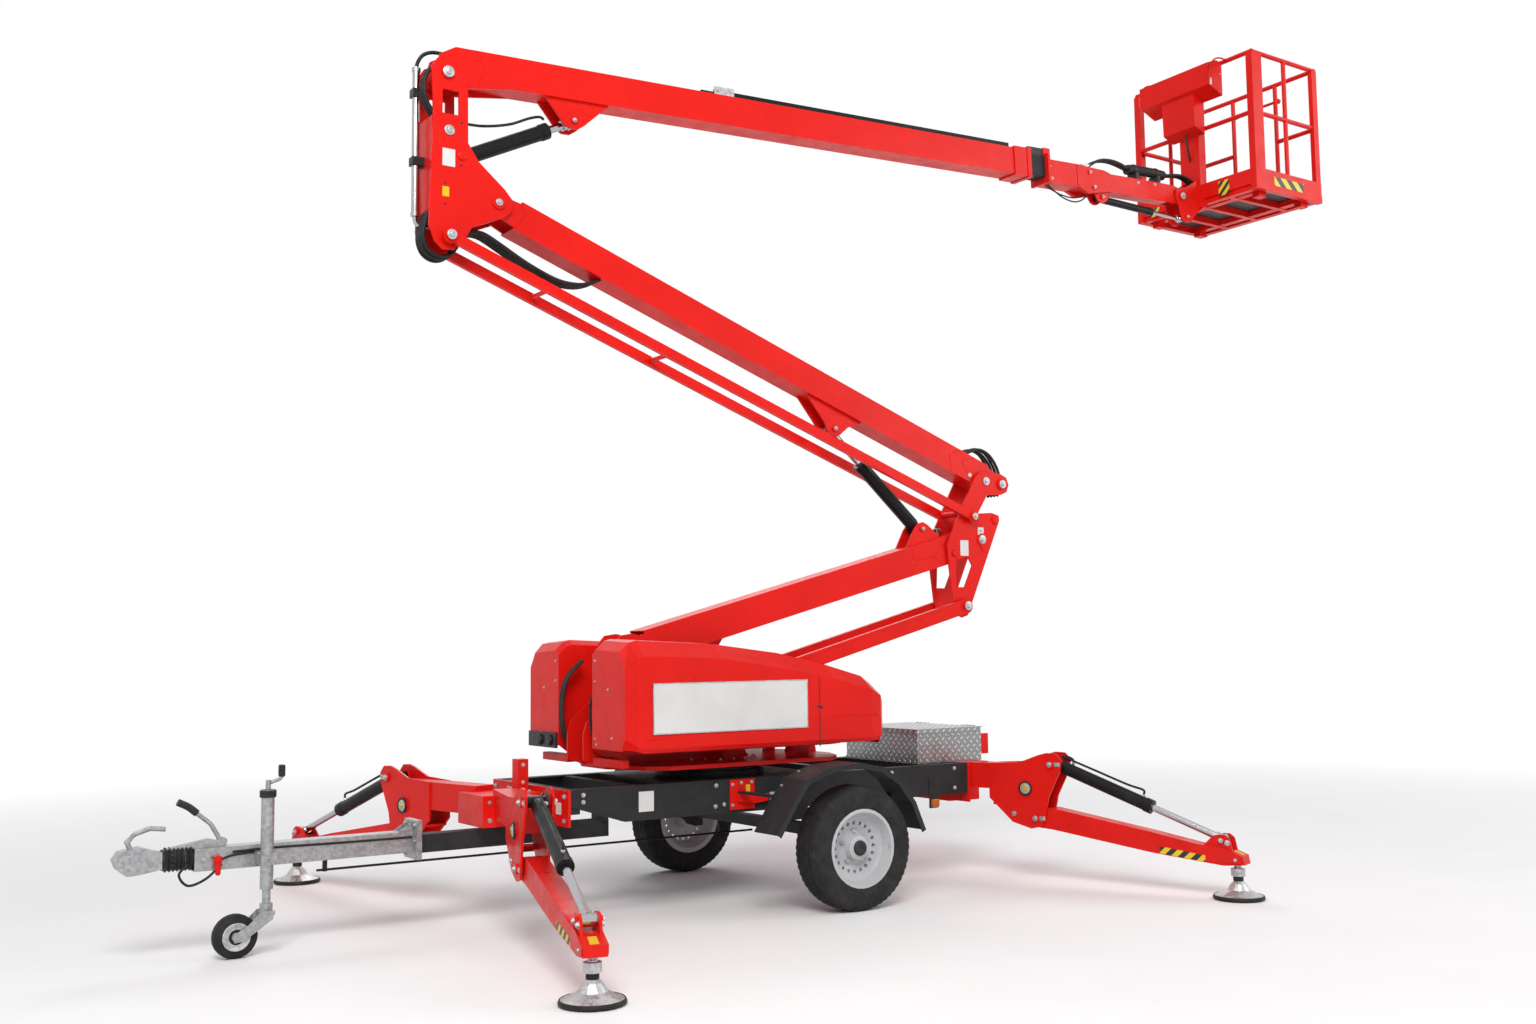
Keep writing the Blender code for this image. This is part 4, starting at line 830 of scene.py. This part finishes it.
# Pivots: body, (x, z), the Y of the face that the fixings sit on, and the washer's radius.
PIVOTS = (
    ("mast", UPPER_ROOT, 0.11, 0.031),
    ("mast", (-1.982, 4.111), 0.1, 0.028),
    ("mast", MID_TIP, 0.11, 0.02),
    ("mid_rods", (-1.983, 3.541), 0.15, 0.027),
    ("mid_rods", (1.588, 2.216), 0.15, 0.022),
    ("knuckle", LOWER_TIP, 0.106, 0.029),
    ("knuckle", MID_ROOT, 0.112, 0.028),
    ("knuckle", (1.735, 2.455), PLATE_FACE, 0.028),
    ("lower_link", LINK_TIP, 0.15, 0.029),
    ("lower_link", LINK_ROOT, 0.15, 0.029),
    ("turret", LOWER_ROOT, 0.112, 0.03),
    ("turret", (0.3, 0.85), 0.065, 0.013),
    ("lower_boom", (-0.4008, 1.3648), 0.065, 0.013),
    ("lower_boom", (1.219, 2.128), 0.065, 0.013),
    ("mid_boom", (0.54, 2.721), 0.065, 0.013),
    ("upper_boom", (-1.236, 4.319), 0.065, 0.013),
    ("telescope", (2.973, 4.574), 0.05, 0.011),
    ("cage", (3.849, 4.558), 0.076, 0.012),
    ("cage", (3.8, 4.71), 0.08, 0.026),
)
# Weld runs: body, the distance of the face from the middle plane, and points in the boom's own frame.
BEADS = (
    ("mid_boom", BOOM_FACE, [(0.36, 0.078), (0.42, 0.062), (0.462, 0.008), (0.406, -0.078)]),
    ("mid_boom", BOOM_FACE, [(0.265, 0.078), (0.352, 0.015), (0.222, -0.078)]),
    ("mid_boom", BOOM_FACE, [(3.684, 0.078), (3.643, 0.02), (3.673, -0.078)]),
    ("lower_boom", BOOM_FACE, [(2.133, 0.075), (2.118, 0.02), (2.1475, -0.005), (2.287, -0.015),
                               (2.43, 0.075)]),
    ("lower_boom", BOOM_FACE, [(2.287, -0.015), (2.355, -0.075)]),
    ("upper_boom", 0.0783, [(0.194, 0.13), (0.223, 0.054), (0.185, -0.019)]),
)


def dress_frames():
    """Bolts, markers and the brake rod on the end frames and under the chassis."""
    bolts = Kit("frame_bolts", "base", BRIGHT)
    for y in (-0.42, -0.25, 0.25, 0.42):
        for z in (0.53, 0.65):
            bolts.bolt((-1.4706, y, z), (-1, 0, 0), 0.01)
            bolts.bolt((1.2166, y, z - 0.04), (1, 0, 0), 0.01)
    for y in (-0.11, 0.11):
        bolts.bolt((-1.52, y, 0.6553), UP, 0.01)
    bolts.bolts([(x, z) for x in (-1.76, -1.6) for z in (0.53, 0.62)], 0.1603, 0.009)
    bolts.bolts([(-1.52, 0.7), (-1.52, 0.79)], 0.0353, 0.008, NEAR).done(0.0005)
    Kit("frame_plate", "base", WHITE).box(-1.4722, -1.4712, -0.385, -0.325, 0.558, 0.618).done(0.0003)
    Kit("rear_markers", "base", AMBER).slab(0.905, 0.96, 0.44, 0.485, 0.4555, 0.476).done(0.004)
    hangers = Kit("marker_brackets", "base", PLASTIC)
    hangers.slab(0.898, 0.967, 0.432, 0.61, CHASSIS_FACE, 0.456).done(0.002)
    rods = Kit("brake_rod", "base", BLACK).rod((-2.6, -0.03, 0.345), (-0.08, -0.03, 0.345), 0.006, 12)
    for x in (-2.56, -1.42, -0.3):
        rods.box(x - 0.01, x + 0.01, -0.038, -0.022, 0.337, 0.4)
    rods.done(0.0005)


def dress_pivots():
    """Washers, nuts and bolt ends on every pivot, and the weld runs that show on the booms."""
    for body in sorted({pivot[0] for pivot in PIVOTS}):
        kit = Kit("pivot_fixings_" + body, body, BRIGHT)
        for owner, point, y, radius in PIVOTS:
            if owner == body:
                kit.pin(point, y, radius)
        kit.done(0.0005)
    for body, matrix in (("mid_boom", MID), ("lower_boom", LOWER), ("upper_boom", UPPER)):
        kit = Kit("welds_" + body, body, RED, matrix)
        for owner, y, points in BEADS:
            if owner == body:
                kit.bead(points, y)
        kit.done(0)
    stop = [(1.665, 2.045), (1.715, 2.045), (1.722, 2.0), (1.705, 1.985), (1.69, 1.995)]
    bosses = Kit("knuckle_bosses", "knuckle", RED).panel(stop, PLATE_FACE, 0.1053)
    for x, z, radius in ((1.806, 2.207, 0.03), (1.451, 1.976, 0.022)):
        bosses.discs([(0, radius), (0.008, radius), (0.012, radius * 0.8)], [(x, z)], PLATE_FACE, 24)
    bosses.done(0.001)
    keepers = Kit("pivot_keepers", "knuckle", BRIGHT)
    keepers.slab(1.65, 1.7, 2.1, 2.15, PLATE_FACE, 0.1043)
    keepers.bolts([(1.675, 2.13)], 0.1043, 0.007).done(0.0005)


def dress_link():
    """The raised strips along the lower link's outer faces."""
    strips = Kit("link_strips", "lower_link", RED, LINK)
    for low, high in ((0.026, 0.04), (-0.04, -0.026)):
        strips.slab(0.17, 2.527, low, high, 0.138, 0.1412)
    strips.done(0.0012)


def dress_mast():
    """The conduit, clamps, labels and hose bundle of the mast."""
    conduit = Kit("mast_conduit", "mast", CHROME)
    conduit.rod((-2.115, 0.035, 3.664), (-2.115, 0.035, 4.457), 0.02, 24)
    for z in (3.66, 4.44):
        conduit.lathe([(0, 0.0235), (0.022, 0.0235)], (-2.115, 0.035, z), UP)
    conduit.hose([(-2.115, 0.035, 3.665), (-2.114, 0.035, 3.638), (-2.104, 0.033, 3.62),
                  (-2.075, 0.03, 3.612), (-2.045, 0.028, 3.612)], 0.012).done(0.0005)
    clamps = Kit("mast_clamps", "mast", PLASTIC)
    for z in (3.931, 4.3):
        clamps.box(-2.141, -2.072, 0.006, 0.064, z, z + 0.046)
    clamps.done(0.003)
    Kit("mast_label", "mast", WHITE).plate(-2.019, -1.949, 3.917, 4.011, LABEL_FACE, NEAR).done(0)
    Kit("mast_note", "mast", YELLOW).plate(-2.018, -1.981, 3.753, 3.806, LABEL_FACE, NEAR).done(0)
    # Thin black discs stand for open holes in the mast: painted shade inside the holes.
    places = ((-1.913, 4.162), (-1.915, 3.932), (-2.001, 3.826), (-2.003, 3.713))
    Kit("mast_hole_shade", "mast", PLASTIC).discs([(0, 0.0065), (0.0006, 0.0062)], places, LABEL_FACE, 16).done(0)
    caps = Kit("mast_bosses", "mast", RED)
    caps.discs([(0, 0.024), (0.007, 0.024), (0.01, 0.019)], [(-1.912, 3.985)], LABEL_FACE, 24).done(0.001)
    bundle = Kit("mast_hoses", "mast", RUBBER)
    run = [(-1.99, 4.485), (-2.06, 4.455), (-2.105, 4.37), (-2.1, 4.27), (-2.05, 4.19),
           (-2.01, 4.09), (-2.0, 3.95), (-2.01, 3.8), (-2.03, 3.745)]
    for i in range(3):
        bundle.hose(level(-0.02 - 0.024 * i, run), 0.01)
    bundle.done(0)


def hang_mast_hoses():
    """The loop into the conduit, the four hoses round the mast's foot and the upper cylinder's hose."""
    loop = [(-1.765, 0.01, 4.56), (-1.87, 0.02, 4.562), (-1.96, 0.028, 4.569), (-2.03, 0.032, 4.566),
            (-2.08, 0.034, 4.54), (-2.109, 0.035, 4.49), (-2.114, 0.035, 4.43), (-2.114, 0.035, 4.3),
            (-2.102, 0.035, 4.168)]
    free_hose("mast_top_loop", "mast", loop, 0.01, ("upper_boom", (-2.06, 0, 4.55), (-1.85, 0, 4.55)))
    for i in range(4):
        drop = 0.006 * (i % 2)
        run = [(-1.05, 3.455), (-1.12, 3.418), (-1.204, 3.398), (-1.316, 3.404), (-1.43, 3.441),
               (-1.545, 3.492), (-1.66, 3.553), (-1.77, 3.603), (-1.855, 3.592), (-1.895, 3.54),
               (-1.942, 3.47 - drop), (-2.007, 3.446 - drop), (-2.068, 3.472 - drop), (-2.097, 3.535),
               (-2.086, 3.63), (-2.044, 3.735)]
        free_hose("mid_hose_%d" % (i + 1), "mast", level(-0.045 + 0.03 * i, run), 0.01,
                  ("mid_boom", (-2.04, 0, 3.45), (-1.86, 0, 3.6)), 2)
    run = [(-1.392, 4.312), (-1.418, 4.322), (-1.48, 4.302), (-1.6, 4.245), (-1.75, 4.207),
           (-1.88, 4.199), (-1.962, 4.196), (-2.018, 4.178), (-2.048, 4.14)]
    free_hose("upper_lift_hose", "mast", level(0.0, run), 0.0075,
              ("upper_barrel", (-1.8, 0, 4.22), (-1.45, 0, 4.31)))


def dress_knuckle():
    """Hose loops over the knuckle, its label, the studs beside it and the valve on the lower boom."""
    for i in range(4):
        rise = 0.006 * (i % 2)
        run = [(1.57, 2.614), (1.65, 2.65 + rise), (1.73, 2.668 + rise), (1.805, 2.645 + rise),
               (1.862, 2.59), (1.895, 2.53), (1.912, 2.465), (1.908, 2.41), (1.88, 2.37)]
        free_hose("knuckle_hose_%d" % (i + 1), "mid_boom", level(-0.045 + 0.03 * i, run), 0.0095,
                  ("knuckle", (1.78, 0, 2.64), (1.9, 0, 2.46)))
    Kit("knuckle_label", "knuckle", WHITE).plate(1.5, 1.568, 1.962, 2.062, LABEL_FACE, NEAR).done(0)
    stud = Kit("mid_boom_stud", "mid_boom", BRIGHT)
    stud.discs([(0, 0.015), (0.003, 0.015), (0.0055, 0.011)], [(1.612, 2.49)], BOOM_FACE, 20).done(0.0004)
    valve = Kit("lower_boom_valve", "lower_boom", PLASTIC)
    valve.rod((1.345, 0.045, 2.106), (1.44, 0.045, 2.1315), 0.0155, 20).done(0.001)
    ends = Kit("lower_boom_valve_ends", "lower_boom", BRIGHT)
    ends.rod((1.333, 0.045, 2.1028), (1.35, 0.045, 2.1073), 0.012, 6)
    ends.rod((1.436, 0.045, 2.1304), (1.455, 0.045, 2.1355), 0.012, 6)
    for x, z in ((1.365, 2.111), (1.42, 2.126)):
        ends.box(x - 0.008, x + 0.008, 0.028, 0.062, z - 0.05, z + 0.019)
    ends.done(0.0005)


def dress_nose():
    """Fittings, bolts, sleeve and clamps on the tray, the telescope's head and the nose arm."""
    tray = Kit("tray_bracket", "upper_boom", BRIGHT, UPPER).box(1.7, 1.84, -0.045, 0.045, 0.158, 0.164)
    tray.slab(1.7, 1.84, 0.158, 0.214, 0.041, 0.046)
    tray.bolts([(1.725, 0.19), (1.815, 0.19)], 0.046, 0.008).done(0.0006)
    lines = Kit("tray_hoses", "upper_boom", RUBBER, UPPER)
    run = [(1.62, 0.176), (2.2, 0.177), (2.9, 0.175), (3.6, 0.176), (4.06, 0.176)]
    for y in (-0.024, 0.0, 0.024):
        lines.hose(level(y, run), 0.01)
    lines.done(0)
    bolts = Kit("nose_bolts", "telescope", BRIGHT, UPPER)
    for s, h, y in ((4.43, 0.069, 0.0703), (4.449, -0.017, 0.0703), (4.823, 0.072, 0.0822),
                    (4.86, -0.03, 0.0822), (5.351, 0.067, 0.0502), (5.53, 0.073, 0.0502)):
        bolts.bolts([(s, h)], y, 0.009)
    bolts.done(0.0005)
    guide = Kit("hose_guide", "telescope", PLASTIC, UPPER)
    guide.box(4.262, 4.402, -0.042, 0.042, 0.12, 0.2).done(0.008)
    Kit("hose_block", "telescope", RED, UPPER).box(4.405, 4.47, -0.045, 0.045, 0.104, 0.205).done(0.003)
    fitting = Kit("nose_fitting", "telescope", BRIGHT, UPPER)
    fitting.box(4.8, 4.9, -0.03, 0.03, 0.104, 0.146)
    for y in (-0.018, 0.018):
        fitting.bolt((4.85, y, 0.146), UP, 0.009)
    fitting.done(0.001)
    run = [(5.29, 0.168), (5.34, 0.176), (5.44, 0.178), (5.56, 0.178), (5.68, 0.172)]
    Kit("nose_sleeve", "telescope", RUBBER, UPPER).hose(level(0, run), 0.036, 24).done(0.002)
    clamps = Kit("nose_sleeve_clamps", "telescope", PLASTIC, UPPER)
    for s in (5.36, 5.59):
        clamps.box(s - 0.016, s + 0.016, -0.043, 0.043, 0.094, 0.15)
        clamps.lathe([(0, 0.04), (0.026, 0.04)], (s - 0.013, 0, 0.177), (1, 0, 0), 28)
    clamps.done(0.002)


def on_upper(points):
    """Points of the upper boom's own frame, measured from the axle."""
    return [tuple(UPPER @ Vector(point)) for point in points]


def hang_nose_hoses():
    """Two thin loops under the nose arm, and three hoses through the sleeve to the cage."""
    drops = ((4.5, 0.036), (4.59, 0.078), (4.69, 0.094), (4.77, 0.074), (4.83, 0.03))
    for i, sag in enumerate((1.0, 0.62)):
        run = [(4.44, -0.05)] + [(s, -0.05 - drop * sag) for s, drop in drops] + [(4.868, -0.046)]
        free_hose("nose_loop_%d" % (i + 1), "telescope", on_upper(level(-0.03 + 0.024 * i, run)), 0.005)
    rise = [(4.86, 0.122), (4.925, 0.168), (5.01, 0.2), (5.11, 0.208), (5.205, 0.196)]
    sleeved = [(5.29, 0.176), (5.45, 0.177), (5.6, 0.177), (5.7, 0.174)]
    last = [(3.76, 4.876), (3.83, 4.886), (3.9, 4.884), (3.97, 4.862), (4.045, 4.815)]
    for i in range(3):
        y = -0.022 + 0.022 * i
        points = on_upper(level(y, rise) + level(y * 0.8, sleeved)) + level(y, last)
        free_hose("nose_hose_%d" % (i + 1), "telescope", points, 0.01,
                  ("cage", (3.72, 0, 4.87), (3.9, 0, 4.87)), 2)


def dress_cage():
    """Hazard marks on the toe boards, rail corners, and the console's fittings."""
    Kit("board_marks", "cage", STRIPES_X).plate(4.234, 4.578, 4.73, 4.799, 0.5652).done(0)
    for y0, y1, z0, z1, tag in ((-0.318, -0.222, 4.705, 4.816, "a"), (0.349, 0.438, 4.705, 4.773, "b")):
        Kit("board_mark_" + tag, "cage", STRIPES_Y).box(4.0325, 4.0334, y0, y1, z0, z1).done(0)
    corners = Kit("rail_corners", "cage", RED)
    for point in [(x, y, z) for z in (5.72, 5.265) for x in (4.05, 4.78) for y in (-0.547, 0.547)]:
        corners.ball(point, 0.0182)
    corners.done(0)
    guards = Kit("console_guards", "cage", RED)
    run = [(3.838, 5.53), (3.842, 5.61), (3.88, 5.68), (3.95, 5.718), (4.045, 5.722)]
    for y in (-0.333, 0.333):
        guards.hose(level(y, run), 0.006)
    guards.done(0)
    screws = Kit("console_screws", "cage", BRIGHT)
    screws.bolts([(3.85, 5.6), (3.965, 5.6)], 0.3253, 0.005).done(0.0003)
    Kit("console_mark", "cage", WHITE).plate(3.85, 3.872, 5.5, 5.55, 0.3252, NEAR).done(0)
    run = [(3.93, -0.03, 5.215), (3.932, -0.026, 5.15), (3.96, -0.015, 5.08), (4.0, 0.0, 5.01),
           (4.04, 0.012, 4.93), (4.046, 0.018, 4.83)]
    Kit("console_cables", "cage", RUBBER).hose(run, 0.0075).done(0)


for side_sign, side_name in SIDES:
    dress_wheel(side_sign, side_name)
    dress_chassis_side(side_sign, side_name)
    dress_mudguard(side_sign, side_name)
for side_sign, side_name in SIDES:
    dress_cover(side_sign, side_name)
dress_turret()
for leg in LEGS:
    dress_leg(leg)
dress_drawbar()
dress_jockey()
dress_frames()
dress_pivots()
dress_link()
dress_mast()
hang_mast_hoses()
dress_knuckle()
dress_nose()
hang_nose_hoses()
dress_cage()


# Light, floor and camera


def set_camera():
    """The camera that was fitted to the photo."""
    yaw, pitch, roll = (math.radians(value) for value in (34.1848, 5.1643, -0.6684))
    forward = Vector((math.sin(yaw) * math.cos(pitch), math.cos(yaw) * math.cos(pitch), math.sin(pitch)))
    right = Vector((math.cos(yaw), -math.sin(yaw), 0.0))
    up = right.cross(forward)
    side = right * math.cos(roll) + up * math.sin(roll)
    top = up * math.cos(roll) - right * math.sin(roll)
    turn = Matrix((side, top, -forward)).transposed().to_4x4()
    data = bpy.data.cameras.new("camera")
    data.lens = 34.9
    data.sensor_width = 36.0
    camera = bpy.data.objects.new("camera", data)
    camera.matrix_world = Matrix.Translation(at(-4.8861, -7.3073, 1.3946)) @ turn
    bpy.context.scene.collection.objects.link(camera)
    bpy.context.scene.camera = camera


def area_light(name, place, target, size, power, colour=(1.0, 1.0, 1.0)):
    data = bpy.data.lights.new(name, "AREA")
    data.shape = "RECTANGLE"
    data.size, data.size_y = size
    data.energy = power
    data.color = colour
    light = bpy.data.objects.new(name, data)
    light.location = place
    light.rotation_euler = (Vector(target) - Vector(place)).to_track_quat("-Z", "Y").to_euler()
    bpy.context.scene.collection.objects.link(light)


def set_world():
    """A soft sky that lights the object, seen as plain white."""
    world = bpy.data.worlds.new("studio")
    world.use_nodes = True
    nodes = Nodes(world.node_tree)
    sky = nodes.emitter("ShaderNodeBackground", (0.93, 0.95, 1.0), 0.42)
    white = nodes.emitter("ShaderNodeBackground", (1.0, 1.0, 1.0), 1.0)
    nodes.show("World Output", nodes.seen_directly(), sky, white)
    bpy.context.scene.world = world


def set_floor():
    """A pale floor that keeps the shadow near the lift and turns plain white between two distances."""
    half, fade_from, fade_to = 60, 4.5, 10.0
    mesh = bpy.data.meshes.new("floor")
    corners = [(-half, -half, 0), (half, -half, 0), (half, half, 0), (-half, half, 0)]
    mesh.from_pydata(corners, [], [(0, 1, 2, 3)])
    floor = bpy.data.objects.new("floor", mesh)
    g = Graph("floor", (0.93, 0.93, 0.93), 0.0, 0.85)
    g.colour(g.mix(g.remap(g.noise(1.3, 6.0), 0.3, 0.7), (0.92, 0.92, 0.92), (0.95, 0.95, 0.95)))
    x, y = g.split(g.place)[:2]
    reach = g.math("SQRT", g.math("ADD", g.times(x, x), g.times(y, y)))
    factor = g.times(g.remap(reach, fade_from, fade_to), g.seen_directly())
    glow = g.emitter("ShaderNodeEmission", (1.0, 1.0, 1.0), 1.0)
    g.show("Material Output", factor, g.shader.outputs[0], glow)
    mesh.materials.append(g.material)
    bpy.context.scene.collection.objects.link(floor)


set_camera()
set_world()
area_light("key", (-7.0, -9.0, 10.0), (0.0, 0.0, 1.5), (6.0, 6.0), 1250.0, (1.0, 0.98, 0.95))
area_light("fill", (9.0, -7.0, 6.0), (0.0, 0.0, 2.0), (6.0, 5.0), 300.0)
area_light("rim", (3.0, 9.0, 9.0), (0.0, 0.0, 2.5), (7.0, 4.0), 350.0)
set_floor()
bpy.context.scene.view_settings.view_transform = "Standard"
